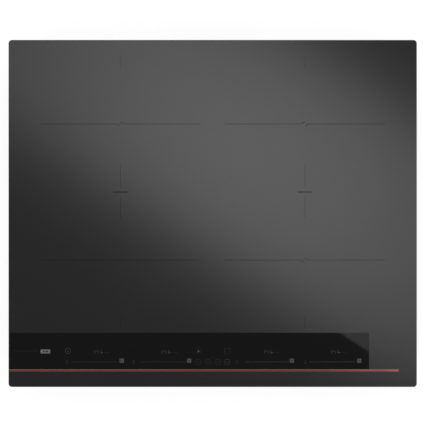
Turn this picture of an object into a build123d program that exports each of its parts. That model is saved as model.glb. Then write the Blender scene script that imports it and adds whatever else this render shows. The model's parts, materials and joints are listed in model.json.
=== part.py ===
from build123d import *
from math import sqrt
import os

# A built-in induction hob for a 60 cm worktop cut-out: a glass plate on a sheet-steel casing.
# Millimetres; +X to the cook's right, +Y to the rear, +Z up.
# The origin is the centre of the hob's footprint, at the casing's underside.

os.makedirs("parts", exist_ok=True)

SIDES = ((-1, "left"), (1, "right"))

# ---------------------------------------------------------------- driving sizes
# glass top
glass_length = 600.0
glass_depth = 510.0
glass_thickness = 4.0
glass_corner = 5.0
glass_edge = 0.8            # rounding of the ground upper edge
glass_lower_edge = 0.4
trim_width = 3.0
trim_groove = 0.6           # depth of the groove the strip lies in
trim_proud = 0.1
trim_side_gap = 0.05
trim_from_front = 24.4      # glass front edge to the middle of the strip
trim_right_margin = 26.4
trim_left_inset = 0.3

# cooking areas, two by two
zone_side_margin = 47.0
zone_centre_gap = 36.0
zone_rear_margin = 23.5
zone_front_margin = 86.5

# casing and its seat in the worktop
casing_height = 50.0        # casing underside to the worktop's upper face
rim_overlap_x = 20.0        # glass beyond the cut-out, left and right
rim_overlap_y = 10.0        # glass beyond the cut-out, front and rear
casing_gap = 4.0            # casing wall to the cut-out's edge
sheet = 0.8
tray_corner = 6.0
tray_bend = 2.0
seal_thickness = 3.0
seal_width = 8.0
seal_inset = 1.0
adhesive_thickness = 0.5
adhesive_width = 8.0
adhesive_inset = 1.0
flange_out = 3.5            # frame flange beyond the tray wall
flange_width = 16.0
leg_height = 13.7
fit_gap = 0.2               # clearance between parts that slide together
soft_gap = 0.3              # clearance to glass, foam and other bodies
least_corner = 1.0          # inner corner of a narrow ring
overcut = 1.0               # how far a cut runs past a face

# vents and beads in the casing
grille_radius = 27.0
grille_rows = 4             # rows each side of the middle one
slot_pitch = 6.2
slot_width = 3.2
slot_bridge = 1.5           # half of the bar between the two half rows
vent_pitch = 8.0
vent_count = 15
vent_height = 16.0
vent_z = 18.0
floor_vent_inset = 19.0
bead_width = 10.0
bead_rise = 1.2
bead_end_gap = 60.0

# casing screws, pan head, self-tapping
screw_radius = 1.75
screw_hole_gap = 0.1
screw_head_radius = 3.2
screw_head_height = 1.8
screw_length = 7.0
screw_drop = 5.0            # below the worktop's upper face
screw_inset = 60.0          # from the tray's ends
screw_mid = 95.0            # from the middle of the long walls

# spring clips on the side walls
clip_from_screw = 41.0      # side casing screws to the clips' middles
clip_width = 40.0
clip_low = 12.5
clip_high = 40.0
clip_metal = 0.8
clip_reach = 7.0            # leaf's crest beyond the tray wall
clip_crest = 41.0           # height of the crest
clip_tip = 45.5
clip_tip_back = 1.6
clip_screw_pitch = 22.0
clip_screw_z = 29.0
clip_screw_radius = 1.6
clip_head_radius = 2.9
clip_head_height = 1.6
clip_screw_length = 5.0
clip_access_radius = 4.2

# coils
coil_side_margin = 7.5
coil_end_margin = 10.0
coil_corner = 70.0
winding_height = 6.6
winding_inset = 2.5         # former's edge to the winding
winding_eye = 63.0          # depth of the winding's open middle
turn_pitch = 4.0
turn_groove = 0.5
former_thickness = 2.8
former_rim = 1.5
former_leg_radius = 4.0
window_width = 7.0
ferrite_height = 5.0
ferrite_start = 24.0        # from the coil's middle
ferrite_end_margin = 10.0
ferrite_width = 12.0
ferrite_count = 8
mica_thickness = 0.6
mica_margin = 2.5
sensor_radius = 8.0
sensor_side_gap = 0.6
sensor_hole_gap = 4.0
boss_wall = 3.0
boss_floor = 2.0
plate_thickness = 1.5
plate_margin = 4.5
plate_corner = 12.0
plate_eye = 15.0
spring_height = 4.5
spring_span = 36.0
spring_width = 12.0
spring_metal = 0.6
pillar_radius = 6.0
pillar_foot_radius = 10.0
pillar_foot = 2.0
pillar_side_inset = 9.0     # coil plate's side edges to the pillars
pillar_rear_inset = 22.0
pillar_front_inset = 20.0
plate_screw_radius = 2.0
plate_screw_length = 16.0
plate_head_radius = 3.8
plate_head_height = 2.2
thread_gap = 0.1
headroom = 2.0              # under the coil plates

# electronics
board_thickness = 1.6
board_standoff = 7.2        # tray floor to the boards' undersides
board_end_gap = 14.0        # coil plate's front edge to the board's
board_fan_gap = 5.0
board_screw_inset = 6.0
board_screw_radius = 1.5
board_screw_length = 6.0
board_head_radius = 2.8
board_head_height = 2.0
carrier_floor = 2.0
carrier_rim = 2.0
carrier_lip = 1.0
post_radius = 4.0
sink_width = 56.0
sink_floor = 3.0
sink_wall = 4.0
sink_fins = 9
sink_fin = 1.4
sink_front_gap = 12.0
sink_rear_gap = 1.0
transistor_depth = 5.0
transistor_width = 15.8
transistor_height = 20.0
transistor_legs = 4.0
leg_pitch = 5.4
leg_radius = 0.5
transistors_per_sink = 4
capacitor_length = 32.0
capacitor_width = 15.0
capacitor_height = 21.0
capacitor_pitch = 24.0
capacitors_per_board = 4
capacitor_round = 1.5
part_gap = 4.0              # between neighbours on a board
choke_radius = 14.0
choke_hole = 6.0
choke_height = 13.0
choke_round = 3.0
filter_length = 104.0
filter_depth = 120.0
filter_gap = 8.0            # filter board to each power board
filter_rear_gap = 14.0
relay_length = 28.0
relay_width = 12.0
relay_height = 15.0
relay_gap = 6.0             # board's middle line to each relay
relay_round = 1.0
lug = 12.0
lug_height = 10.0

# fans
rotor_radius = 33.0
rotor_blades = 28
blade_length = 9.0
blade_metal = 1.0
blade_pitch = 38.0          # degrees from radial
rotor_ring = 3.0
rotor_disc = 1.5
rotor_top_gap = 2.4
rotor_floor_gap = 2.5
rotor_cup_gap = 1.0
rotor_cup_wall = 1.5
fan_scroll_gap = 9.4
fan_wall = 1.6
fan_intake_radius = 25.0
fan_rear_gap = 20.0
fan_side_gap = 8.5
fan_outlet_reach = 50.0
motor_radius = 13.0
motor_height = 18.0
motor_slots = 6
shaft_radius = 1.5
shaft_gap = 0.1

# terminal box in the rear wall
box_length = 100.0
box_depth = 45.0
box_height = 31.0
box_wall = 2.0
box_lip = 2.0
box_lip_thickness = 1.2
box_above_bend = 0.8
entry_width = 28.0          # fixed panel with the cable entry
cover_thickness = 2.0
cover_recess = 1.0          # tray wall's outer face to the cover's
cover_end_gap = 0.4
cover_foot_gap = 0.6
cover_pin_radius = 0.9
cover_pin_gap = 0.1
cover_pin_length = 1.5
cover_ledge = 2.0
cover_tab = 12.0
cover_tab_drop = 6.0        # box's inner roof to the tab
cable_radius = 7.0          # bore for a mains cable of about 13 mm
cable_collar = 2.5
cable_collar_length = 10.0
clamp_boss_radius = 3.0
clamp_spread = 11.0
clamp_width = 10.0
clamp_thickness = 3.0
clamp_round = 2.0
clamp_screw_length = 12.0
clamp_back = 23.0           # tray wall's outer face to the clamp
pole_count = 5
pole_pitch = 11.6
block_depth = 18.0
block_height = 15.2
block_front_gap = 8.0
block_end_gap = 4.0
pole_screw_radius = 2.4
pole_well_radius = 2.9
pole_well = 5.0
pole_screw_height = 3.5
pole_slot = 0.8
pole_slot_depth = 1.0
pole_cut = 1.0
pole_cut_depth = 2.0
lead_radius = 1.6
lead_hole_radius = 2.2

# touch controls
touch_from_front = 52.8     # glass front edge to the middle of the touch board
touch_depth = 44.0
touch_end_gap = 17.0        # touch board to the casing's outer face
touch_standoff = 10.0       # board's upper face to the glass
touch_wall = 2.0
touch_ledge = 1.4
touch_rim = 4.0
touch_leg_radius = 5.0
touch_leg_inset = 9.0
touch_leg_spread = 17.0
touch_leg_mid = 70.0
pad_radius = 3.2
display_length = 25.0
display_width = 8.0
outer_slider_inset = 52.0   # touch board's left end to the first slider
last_slider_inset = 117.5   # touch board's right end to the last slider
left_slider_pitch = 100.9
right_slider_pitch = 94.4
slider_length = 67.6
slider_pads = 5
slider_from_front = 37.2
display_from_front = 51.4
menu_key_xs = (-21.1, -6.7, 7.5, 21.2)
upper_key_xs = (-21.1, 21.2)
end_key_inset = 46.1
key_above_display = 1.5

# wiring
main_lead_xs = (-30.0, 0.0)
coil_lead_run = 62.0        # power board's inner edge to the coil leads
coil_lead_inset = 9.0       # coil's middle to its leads
coil_lead_spread = 2.5      # half the distance between a coil's two leads
coil_lead_rise = 13.0       # above the board before the bend
coil_lead_drop = 5.0        # below the coil plate after the bend
coil_lead_bends = (3.0, 2.5)
flex_x = 80.0
flex_rise = 14.0
flex_fall = 10.0
flex_bends = (8.0, 4.0)

# ---------------------------------------------------------------- levels
glass_bottom = casing_height + seal_thickness
glass_top = glass_bottom + glass_thickness
flange_top = glass_bottom - adhesive_thickness
flange_bottom = flange_top - sheet
tray_top = flange_bottom - fit_gap
mica_bottom = glass_bottom - mica_thickness
winding_top = mica_bottom - soft_gap
former_top = winding_top - winding_height
former_bottom = former_top - former_thickness
plate_top = former_bottom - fit_gap - ferrite_height
plate_bottom = plate_top - plate_thickness
pillar_top = plate_bottom - spring_height
parts_top = plate_bottom - headroom
board_bottom = sheet + board_standoff
board_top = board_bottom + board_thickness
touch_top = glass_bottom - touch_standoff
touch_bottom = touch_top - board_thickness
holder_top = touch_bottom - touch_ledge
holder_bottom = holder_top - touch_wall
screw_z = casing_height - screw_drop

# ---------------------------------------------------------------- places in plan
front = -glass_depth / 2
wall_x = glass_length / 2 - rim_overlap_x - casing_gap
wall_y = glass_depth / 2 - rim_overlap_y - casing_gap
zone_length = (glass_length - 2 * zone_side_margin - zone_centre_gap) / 2
zone_depth = (glass_depth - zone_rear_margin - zone_front_margin) / 2
zone_x = (zone_centre_gap + zone_length) / 2
zone_rear_y = -front - zone_rear_margin - zone_depth / 2
zone_front_y = zone_rear_y - zone_depth
zones_y = (zone_rear_y + zone_front_y) / 2
ROWS = ((zone_front_y, "front"), (zone_rear_y, "rear"))
coil_length = zone_length - 2 * coil_side_margin
coil_depth = zone_depth - 2 * coil_end_margin
coil_round = min(coil_corner, coil_depth / 2 - coil_end_margin)
plate_length = zone_length + 2 * plate_margin
plate_depth = 2 * (zone_depth - plate_margin)
plate_rear = zones_y + plate_depth / 2
plate_front = zones_y - plate_depth / 2
pillar_outer_x = zone_x + plate_length / 2 - pillar_side_inset
pillar_spots = (
    (box_length / 2 + box_lip + pillar_foot_radius, plate_rear - pillar_rear_inset),
    (pillar_outer_x, plate_rear - pillar_rear_inset),
    (zone_x - plate_length / 2 + pillar_side_inset, plate_front + pillar_front_inset),
    (pillar_outer_x, plate_front + pillar_front_inset),
)
fan_radius = rotor_radius + fan_scroll_gap + fan_wall
fan_x = pillar_outer_x - pillar_foot_radius - fan_side_gap - fan_radius
fan_y = wall_y - sheet - fan_rear_gap - fan_radius
fan_front = fan_y - fan_outlet_reach
sink_x = fan_x - fan_radius + fan_wall + sink_width / 2
board_inner = filter_length / 2 + filter_gap
board_outer = pillar_outer_x - pillar_foot_radius - fit_gap - carrier_rim
board_front = plate_front + board_end_gap
board_rear = fan_front - board_fan_gap
sink_front = board_front + sink_front_gap
sink_rear = board_rear - sink_rear_gap
box_front = wall_y - box_depth
filter_rear = box_front - filter_rear_gap
filter_front = filter_rear - filter_depth
filter_y = (filter_rear + filter_front) / 2
touch_y = front + touch_from_front
touch_x = wall_x - touch_end_gap


def block(x0, x1, y0, y1, z0, z1, mode=Mode.ADD):
    """Adds (or cuts) a plain block between two corners in the open part."""
    with BuildSketch(Plane.XY.offset(z0)) as outline:
        with Locations(((x0 + x1) / 2, (y0 + y1) / 2)):
            Rectangle(abs(x1 - x0), abs(y1 - y0))
    extrude(outline.sketch, amount=z1 - z0, mode=mode)


def rod(start, direction, radius, length, mode=Mode.ADD):
    """Adds (or cuts) a round bar from a start point along a direction."""
    with BuildSketch(Plane(origin=start, z_dir=direction)) as outline:
        Circle(radius)
    extrude(outline.sketch, amount=length, mode=mode)


def peg(x, y, radius, z0, z1, mode=Mode.ADD):
    """Adds (or cuts) an upright cylinder between two levels."""
    rod((x, y, z0), (0, 0, 1), radius, z1 - z0, mode)


def ring(length, depth, corner, width, z0, z1):
    """Adds a rounded rectangular ring with the given band width."""
    with BuildSketch(Plane.XY.offset(z0)) as outline:
        RectangleRounded(length, depth, corner)
        RectangleRounded(
            length - 2 * width, depth - 2 * width, max(corner - width, least_corner), mode=Mode.SUBTRACT
        )
    extrude(outline.sketch, amount=z1 - z0)


def pan_screw(seat, outward, head_radius, head_height, radius, length):
    """Adds a pan-head screw whose head sits on a face at seat and points outward."""
    inward = tuple(-step for step in outward)
    rod(seat, outward, head_radius, head_height)
    rod(seat, inward, radius, length)


# ---------------------------------------------------------------- glass top
trim_y = front + trim_from_front
trim_x0 = -glass_length / 2 + trim_left_inset
trim_x1 = glass_length / 2 - trim_right_margin
groove_half = trim_width / 2 + trim_side_gap

with BuildPart() as glass:
    with BuildSketch(Plane.XY.offset(glass_bottom)):
        RectangleRounded(glass_length, glass_depth, glass_corner)
    extrude(amount=glass_thickness)
    fillet(glass.faces().sort_by(Axis.Z)[-1].edges(), glass_edge)
    chamfer(glass.faces().sort_by(Axis.Z)[0].edges(), glass_lower_edge)
    block(
        -glass_length / 2 - overcut, trim_x1 + trim_side_gap, trim_y - groove_half, trim_y + groove_half,
        glass_top - trim_groove, glass_top + overcut, Mode.SUBTRACT,
    )
glass.part.label = "glass_plate"
export_step(glass.part, "parts/glass_plate.step")

with BuildPart() as trim:
    block(
        trim_x0, trim_x1, trim_y - trim_width / 2, trim_y + trim_width / 2,
        glass_top - trim_groove, glass_top + trim_proud,
    )
    chamfer(trim.faces().sort_by(Axis.Z)[-1].edges(), trim_proud)
trim.part.label = "trim_strip"
export_step(trim.part, "parts/trim_strip.step")

with BuildPart() as seal:
    ring(
        glass_length - 2 * seal_inset, glass_depth - 2 * seal_inset, glass_corner - seal_inset,
        seal_width, casing_height, glass_bottom,
    )
seal.part.label = "worktop_seal"
export_step(seal.part, "parts/worktop_seal.step")

# ---------------------------------------------------------------- glass frame, bonded under the glass
flange_length = 2 * (wall_x + flange_out)
flange_depth = 2 * (wall_y + flange_out)
long_wall_xs = (-wall_x + screw_inset, -screw_mid, screw_mid, wall_x - screw_inset)
short_wall_ys = (-wall_y + screw_inset, wall_y - screw_inset)
screw_spots = [(x, side * wall_y, (0, side, 0)) for side, name in SIDES for x in long_wall_xs]
screw_spots += [(side * wall_x, y, (side, 0, 0)) for side, name in SIDES for y in short_wall_ys]


def cut_screw_holes(depth):
    """Cuts the casing screws' holes through the walls, from outside the casing inwards."""
    for x, y, outward in screw_spots:
        start = (x + outward[0], y + outward[1], screw_z)
        inward = (-outward[0], -outward[1], 0)
        rod(start, inward, screw_radius + screw_hole_gap, depth, Mode.SUBTRACT)


with BuildPart() as frame:
    ring(flange_length, flange_depth, tray_corner + flange_out, flange_width, flange_bottom, flange_top)
    ring(
        2 * (wall_x - sheet - fit_gap), 2 * (wall_y - sheet - fit_gap), tray_corner - sheet - fit_gap,
        sheet, flange_bottom - leg_height, flange_bottom,
    )
    cut_screw_holes(screw_length)
frame.part.label = "glass_frame"
export_step(frame.part, "parts/glass_frame.step")

with BuildPart() as adhesive:
    ring(
        flange_length - 2 * adhesive_inset, flange_depth - 2 * adhesive_inset,
        tray_corner + flange_out - adhesive_inset, adhesive_width, flange_top, glass_bottom,
    )
adhesive.part.label = "glass_adhesive"
export_step(adhesive.part, "parts/glass_adhesive.step")

# ---------------------------------------------------------------- base tray
box_low = tray_bend + box_above_bend
box_high = box_low + box_height
clip_y = wall_y - screw_inset - clip_from_screw
clip_spots = [
    (side, end_side * clip_y, f"{name}_{end}")
    for side, name in SIDES for end_side, end in ((-1, "front"), (1, "rear"))
]
clip_screw_ys = (-clip_screw_pitch / 2, clip_screw_pitch / 2)

with BuildPart() as tray:
    with BuildSketch():
        RectangleRounded(2 * wall_x, 2 * wall_y, tray_corner)
    extrude(amount=tray_top)
    fillet(tray.faces().sort_by(Axis.Z)[0].edges(), tray_bend)
    offset(amount=-sheet, openings=tray.faces().sort_by(Axis.Z)[-1])

    # fan intakes: round grilles of half rows
    with BuildSketch() as intakes:
        for side, name in SIDES:
            for row in range(-grille_rows, grille_rows + 1):
                reach = sqrt(grille_radius**2 - (row * slot_pitch) ** 2)
                shift = (reach + slot_bridge) / 2
                spots = [(side * fan_x + half * shift, fan_y + row * slot_pitch) for half in (-1, 1)]
                with Locations(*spots):
                    SlotOverall(reach - slot_bridge, slot_width)
    extrude(intakes.sketch, amount=sheet, mode=Mode.SUBTRACT)

    # exhaust slots at the front, in the wall and in the floor
    with BuildSketch(Plane.XZ.offset(wall_y - sheet)) as wall_vents:
        with Locations((-sink_x, vent_z), (sink_x, vent_z)):
            with GridLocations(vent_pitch, vent_height, vent_count, 1):
                SlotOverall(vent_height, slot_width, rotation=90)
    extrude(wall_vents.sketch, amount=sheet, mode=Mode.SUBTRACT)
    with BuildSketch() as floor_vents:
        with Locations((-sink_x, -wall_y + floor_vent_inset), (sink_x, -wall_y + floor_vent_inset)):
            with GridLocations(vent_pitch, vent_height, vent_count, 1):
                SlotOverall(vent_height, slot_width, rotation=90)
    extrude(floor_vents.sketch, amount=sheet, mode=Mode.SUBTRACT)

    # a stiffening bead pressed up along the front of the floor
    with BuildSketch(Plane.XY.offset(sheet)) as bead:
        with Locations((0, touch_y)):
            SlotOverall(2 * (wall_x - bead_end_gap), bead_width)
    extrude(bead.sketch, amount=bead_rise)
    with BuildSketch() as bead_hollow:
        with Locations((0, touch_y)):
            SlotOverall(2 * (wall_x - bead_end_gap) - 2 * sheet, bead_width - 2 * sheet)
    extrude(bead_hollow.sketch, amount=bead_rise, mode=Mode.SUBTRACT)

    # opening for the terminal box, and the screw holes
    block(
        -box_length / 2 - fit_gap, box_length / 2 + fit_gap, wall_y - tray_bend, wall_y + overcut,
        box_low - fit_gap, box_high + fit_gap, Mode.SUBTRACT,
    )
    cut_screw_holes(screw_length)
    for side, y, name in clip_spots:
        for shift in clip_screw_ys:
            start = (side * (wall_x + overcut), y + shift, clip_screw_z)
            reach = overcut + 2 * sheet
            rod(start, (-side, 0, 0), clip_screw_radius + screw_hole_gap, reach, Mode.SUBTRACT)
tray.part.label = "base_tray"
export_step(tray.part, "parts/base_tray.step")

with BuildPart() as casing_screws:
    for x, y, outward in screw_spots:
        pan_screw(
            (x, y, screw_z), outward, screw_head_radius, screw_head_height, screw_radius, screw_length
        )
casing_screws.part.label = "casing_screws"
export_step(casing_screws.part, "parts/casing_screws.step")

# ---------------------------------------------------------------- spring clips that grip the cut-out
fold_x = wall_x + clip_metal + soft_gap + clip_metal / 2
fold_z = clip_low + clip_metal + soft_gap
crest_x = wall_x + clip_reach

with BuildPart() as clip_feet:
    for side, y, name in clip_spots:
        y0 = y - clip_width / 2
        y1 = y + clip_width / 2
        block(side * wall_x, side * (wall_x + clip_metal), y0, y1, clip_low, clip_high)
        block(side * wall_x, side * (fold_x + clip_metal), y0, y1, clip_low, clip_low + clip_metal)
        for shift in clip_screw_ys:
            start = (side * (wall_x - overcut), y + shift, clip_screw_z)
            reach = overcut + 2 * clip_metal
            rod(start, (side, 0, 0), clip_screw_radius + screw_hole_gap, reach, Mode.SUBTRACT)
clip_feet.part.label = "clip_feet"
export_step(clip_feet.part, "parts/clip_feet.step")

with BuildPart() as clip_screws:
    for side, y, name in clip_spots:
        for shift in clip_screw_ys:
            pan_screw(
                (side * (wall_x + clip_metal), y + shift, clip_screw_z), (side, 0, 0),
                clip_head_radius, clip_head_height, clip_screw_radius, clip_screw_length,
            )
clip_screws.part.label = "clip_screws"
export_step(clip_screws.part, "parts/clip_screws.step")

for side, y, name in clip_spots:
    with BuildPart() as leaf:
        with BuildSketch(Plane.XZ.offset(-y - clip_width / 2)):
            with BuildLine():
                Polyline(
                    (side * (fold_x + clip_metal / 2), fold_z),
                    (side * crest_x, clip_crest),
                    (side * (crest_x - clip_tip_back), clip_tip),
                    (side * (crest_x - clip_tip_back - clip_metal), clip_tip),
                    (side * (crest_x - clip_metal), clip_crest),
                    (side * (fold_x - clip_metal / 2), fold_z),
                    close=True,
                )
            make_face()
        extrude(amount=clip_width)
        for shift in clip_screw_ys:
            start = (side * wall_x, y + shift, clip_screw_z)
            rod(start, (side, 0, 0), clip_access_radius, 2 * clip_reach, Mode.SUBTRACT)
    leaf.part.label = f"clip_leaf_{name}"
    export_step(leaf.part, f"parts/clip_leaf_{name}.step")

# ---------------------------------------------------------------- induction coils
winding_length = coil_length - 2 * winding_inset
winding_depth = coil_depth - 2 * winding_inset
winding_round = coil_round - winding_inset
winding_band = (winding_depth - winding_eye) / 2
boss_hole = sensor_radius + sensor_side_gap
boss_radius = boss_hole + boss_wall
ferrite_end = coil_depth / 2 - ferrite_end_margin
ferrite_mid = (ferrite_start + ferrite_end) / 2
ferrite_length = ferrite_end - ferrite_start
sensor_floor = plate_top + boss_floor
coil_spots = [(side * zone_x, y, f"{name}_{row}") for side, name in SIDES for y, row in ROWS]

for x, y, name in coil_spots:
    with BuildPart() as former:
        with BuildSketch(Plane.XY.offset(former_bottom)):
            with Locations((x, y)):
                RectangleRounded(coil_length, coil_depth, coil_round)
        extrude(amount=former_thickness)
        with BuildSketch(Plane.XY.offset(former_top)):
            with Locations((x, y)):
                RectangleRounded(coil_length, coil_depth, coil_round)
                RectangleRounded(
                    coil_length - 2 * former_rim, coil_depth - 2 * former_rim,
                    coil_round - former_rim, mode=Mode.SUBTRACT,
                )
        extrude(amount=former_rim)
        with BuildSketch(Plane.XY.offset(former_bottom)):
            with Locations((x, y)):
                with PolarLocations(ferrite_mid, ferrite_count):
                    SlotOverall(ferrite_length - 2 * window_width, window_width)
        extrude(amount=former_thickness, mode=Mode.SUBTRACT)
        with BuildSketch(Plane.XY.offset(plate_top)):
            with Locations((x, y)):
                with PolarLocations(ferrite_mid, ferrite_count, 180.0 / ferrite_count):
                    Circle(former_leg_radius)
                Circle(boss_radius)
        extrude(amount=former_bottom - plate_top)
        peg(x, y, boss_radius, former_bottom, winding_top)
        peg(x, y, boss_hole, sensor_floor, winding_top, Mode.SUBTRACT)
        peg(x, y, boss_hole / 2, plate_top, sensor_floor, Mode.SUBTRACT)
    former.part.label = f"coil_former_{name}"
    export_step(former.part, f"parts/coil_former_{name}.step")

    with BuildPart() as winding:
        with BuildSketch(Plane.XY.offset(former_top)):
            with Locations((x, y)):
                RectangleRounded(winding_length, winding_depth, winding_round)
                RectangleRounded(
                    winding_length - 2 * winding_band, winding_depth - 2 * winding_band,
                    max(winding_round - winding_band, window_width), mode=Mode.SUBTRACT,
                )
        extrude(amount=winding_height)
        with BuildSketch(Plane.XY.offset(winding_top - turn_groove)):
            with Locations((x, y)):
                for turn in range(1, int(winding_band / turn_pitch)):
                    step = turn * turn_pitch
                    inner = step + turn_groove
                    RectangleRounded(
                        winding_length - 2 * step, winding_depth - 2 * step,
                        max(winding_round - step, window_width),
                    )
                    RectangleRounded(
                        winding_length - 2 * inner, winding_depth - 2 * inner,
                        max(winding_round - inner, window_width - turn_groove), mode=Mode.SUBTRACT,
                    )
        extrude(amount=turn_groove, mode=Mode.SUBTRACT)
    winding.part.label = f"coil_winding_{name}"
    export_step(winding.part, f"parts/coil_winding_{name}.step")

with BuildPart() as ferrites:
    with BuildSketch(Plane.XY.offset(plate_top)):
        for x, y, name in coil_spots:
            with Locations((x, y)):
                with PolarLocations(ferrite_mid, ferrite_count):
                    Rectangle(ferrite_length, ferrite_width)
    extrude(amount=ferrite_height)
ferrites.part.label = "ferrite_bars"
export_step(ferrites.part, "parts/ferrite_bars.step")

with BuildPart() as sensors:
    for x, y, name in coil_spots:
        peg(x, y, sensor_radius, sensor_floor, mica_bottom)
        peg(x, y, sensor_radius / 2, mica_bottom, glass_bottom - soft_gap)
sensors.part.label = "temperature_sensors"
export_step(sensors.part, "parts/temperature_sensors.step")

for side, name in SIDES:
    with BuildPart() as plate:
        with BuildSketch(Plane.XY.offset(plate_bottom)):
            with Locations((side * zone_x, zones_y)):
                RectangleRounded(plate_length, plate_depth, plate_corner)
            with Locations((side * zone_x, zone_front_y), (side * zone_x, zone_rear_y)):
                Circle(plate_eye, mode=Mode.SUBTRACT)
            with Locations([(side * x, y) for x, y in pillar_spots]):
                Circle(plate_screw_radius + fit_gap, mode=Mode.SUBTRACT)
        extrude(amount=plate_thickness)
    plate.part.label = f"coil_plate_{name}"
    export_step(plate.part, f"parts/coil_plate_{name}.step")

    with BuildPart() as mica:
        with BuildSketch(Plane.XY.offset(mica_bottom)):
            with Locations((side * zone_x, zones_y)):
                RectangleRounded(zone_length + 2 * mica_margin, plate_depth, mica_margin)
            with Locations((side * zone_x, zone_front_y), (side * zone_x, zone_rear_y)):
                Circle(sensor_radius + sensor_hole_gap, mode=Mode.SUBTRACT)
        extrude(amount=mica_thickness)
    mica.part.label = f"mica_sheet_{name}"
    export_step(mica.part, f"parts/mica_sheet_{name}.step")

# ---------------------------------------------------------------- sprung mounting of the coil plates
rise = spring_height - spring_metal

with BuildPart() as springs:
    for side, name in SIDES:
        for x, y in pillar_spots:
            with BuildSketch(Plane.YZ.offset(side * x - spring_width / 2)):
                with BuildLine():
                    low = ThreePointArc(
                        (y - spring_span / 2, pillar_top + rise), (y, pillar_top),
                        (y + spring_span / 2, pillar_top + rise),
                    )
                    high = ThreePointArc(
                        (y - spring_span / 2, plate_bottom), (y, pillar_top + spring_metal),
                        (y + spring_span / 2, plate_bottom),
                    )
                    Line(low @ 0, high @ 0)
                    Line(low @ 1, high @ 1)
                make_face()
            extrude(amount=spring_width)
            hole_radius = plate_screw_radius + fit_gap
            peg(side * x, y, hole_radius, pillar_top - overcut, plate_bottom, Mode.SUBTRACT)
springs.part.label = "plate_springs"
export_step(springs.part, "parts/plate_springs.step")

with BuildPart() as pillars:
    for side, name in SIDES:
        for x, y in pillar_spots:
            peg(side * x, y, pillar_radius, sheet, pillar_top)
            peg(side * x, y, pillar_foot_radius, sheet, sheet + pillar_foot)
            peg(side * x, y, plate_screw_radius + thread_gap, sheet, pillar_top, Mode.SUBTRACT)
pillars.part.label = "plate_pillars"
export_step(pillars.part, "parts/plate_pillars.step")

with BuildPart() as plate_screws:
    for side, name in SIDES:
        for x, y in pillar_spots:
            pan_screw(
                (side * x, y, plate_top), (0, 0, 1),
                plate_head_radius, plate_head_height, plate_screw_radius, plate_screw_length,
            )
plate_screws.part.label = "plate_screws"
export_step(plate_screws.part, "parts/plate_screws.step")

# ---------------------------------------------------------------- boards on their carriers
power_screws = [
    (x, y)
    for x in (board_inner + board_screw_inset, board_outer - board_screw_inset)
    for y in (board_front + board_screw_inset, board_rear - board_screw_inset)
]
filter_screws = [
    (x, y)
    for x in (-filter_length / 2 + board_screw_inset, filter_length / 2 - board_screw_inset)
    for y in (filter_front + board_screw_inset, filter_rear - board_screw_inset)
]
lug_y = board_rear - 2 * lug
lead_z = board_top + lug_height / 2


def board_carrier(x0, x1, y0, y1, screws):
    """Builds a moulded tray with posts for a board with the given edges."""
    with BuildPart() as carrier:
        rim = fit_gap + carrier_rim
        block(x0 - rim, x1 + rim, y0 - rim, y1 + rim, sheet, board_top + carrier_lip)
        block(
            x0 - fit_gap, x1 + fit_gap, y0 - fit_gap, y1 + fit_gap,
            sheet + carrier_floor, board_top + carrier_lip, Mode.SUBTRACT,
        )
        for x, y in screws:
            peg(x, y, post_radius, sheet + carrier_floor, board_bottom)
            peg(x, y, board_screw_radius + thread_gap, sheet + carrier_floor, board_bottom, Mode.SUBTRACT)
    return carrier.part


def circuit_board(x0, x1, y0, y1, screws, lugs):
    """Builds a board with screw holes and square connector lugs soldered on."""
    with BuildPart() as board:
        block(x0, x1, y0, y1, board_bottom, board_top)
        for x, y in screws:
            peg(x, y, board_screw_radius + fit_gap, board_bottom, board_top, Mode.SUBTRACT)
        for x, y in lugs:
            block(x - lug / 2, x + lug / 2, y - lug / 2, y + lug / 2, board_top, board_top + lug_height)
    return board.part


main_lugs = [(x, filter_rear - lug / 2) for x in main_lead_xs]
feed_lugs = [(side * (filter_length / 2 - lug / 2), lug_y) for side, name in SIDES]

for side, name in SIDES:
    x0, x1 = sorted((side * board_inner, side * board_outer))
    screws = [(side * x, y) for x, y in power_screws]
    carrier_part = board_carrier(x0, x1, board_front, board_rear, screws)
    carrier_part.label = f"board_carrier_{name}"
    export_step(carrier_part, f"parts/board_carrier_{name}.step")
    lugs = [(side * (board_inner + lug / 2), lug_y)]
    board_part = circuit_board(x0, x1, board_front, board_rear, screws, lugs)
    board_part.label = f"power_board_{name}"
    export_step(board_part, f"parts/power_board_{name}.step")

filter_edges = (-filter_length / 2, filter_length / 2, filter_front, filter_rear)
filter_carrier = board_carrier(*filter_edges, filter_screws)
filter_carrier.label = "filter_carrier"
export_step(filter_carrier, "parts/filter_carrier.step")
filter_board = circuit_board(*filter_edges, filter_screws, main_lugs + feed_lugs)
filter_board.label = "filter_board"
export_step(filter_board, "parts/filter_board.step")

with BuildPart() as board_screws:
    spots = [(side * x, y) for side, name in SIDES for x, y in power_screws] + filter_screws
    for x, y in spots:
        pan_screw(
            (x, y, board_top), (0, 0, 1),
            board_head_radius, board_head_height, board_screw_radius, board_screw_length,
        )
board_screws.part.label = "board_screws"
export_step(board_screws.part, "parts/board_screws.step")

# ---------------------------------------------------------------- parts on the boards
for side, name in SIDES:
    with BuildPart() as sink:
        left = side * sink_x - sink_width / 2
        right = side * sink_x + sink_width / 2
        block(left, right, sink_front, sink_rear, board_top, board_top + sink_floor)
        block(left, left + sink_wall, sink_front, sink_rear, board_top, parts_top)
        block(right - sink_wall, right, sink_front, sink_rear, board_top, parts_top)
        fin_pitch = (sink_width - 2 * sink_wall) / (sink_fins + 1)
        for fin in range(1, sink_fins + 1):
            x = left + sink_wall + fin * fin_pitch
            fin_low = board_top + sink_floor
            block(x - sink_fin / 2, x + sink_fin / 2, sink_front, sink_rear, fin_low, parts_top)
    sink.part.label = f"heat_sink_{name}"
    export_step(sink.part, f"parts/heat_sink_{name}.step")

sink_flank = sink_x - sink_width / 2
transistor_pitch = (sink_rear - sink_front) / transistors_per_sink

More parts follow.
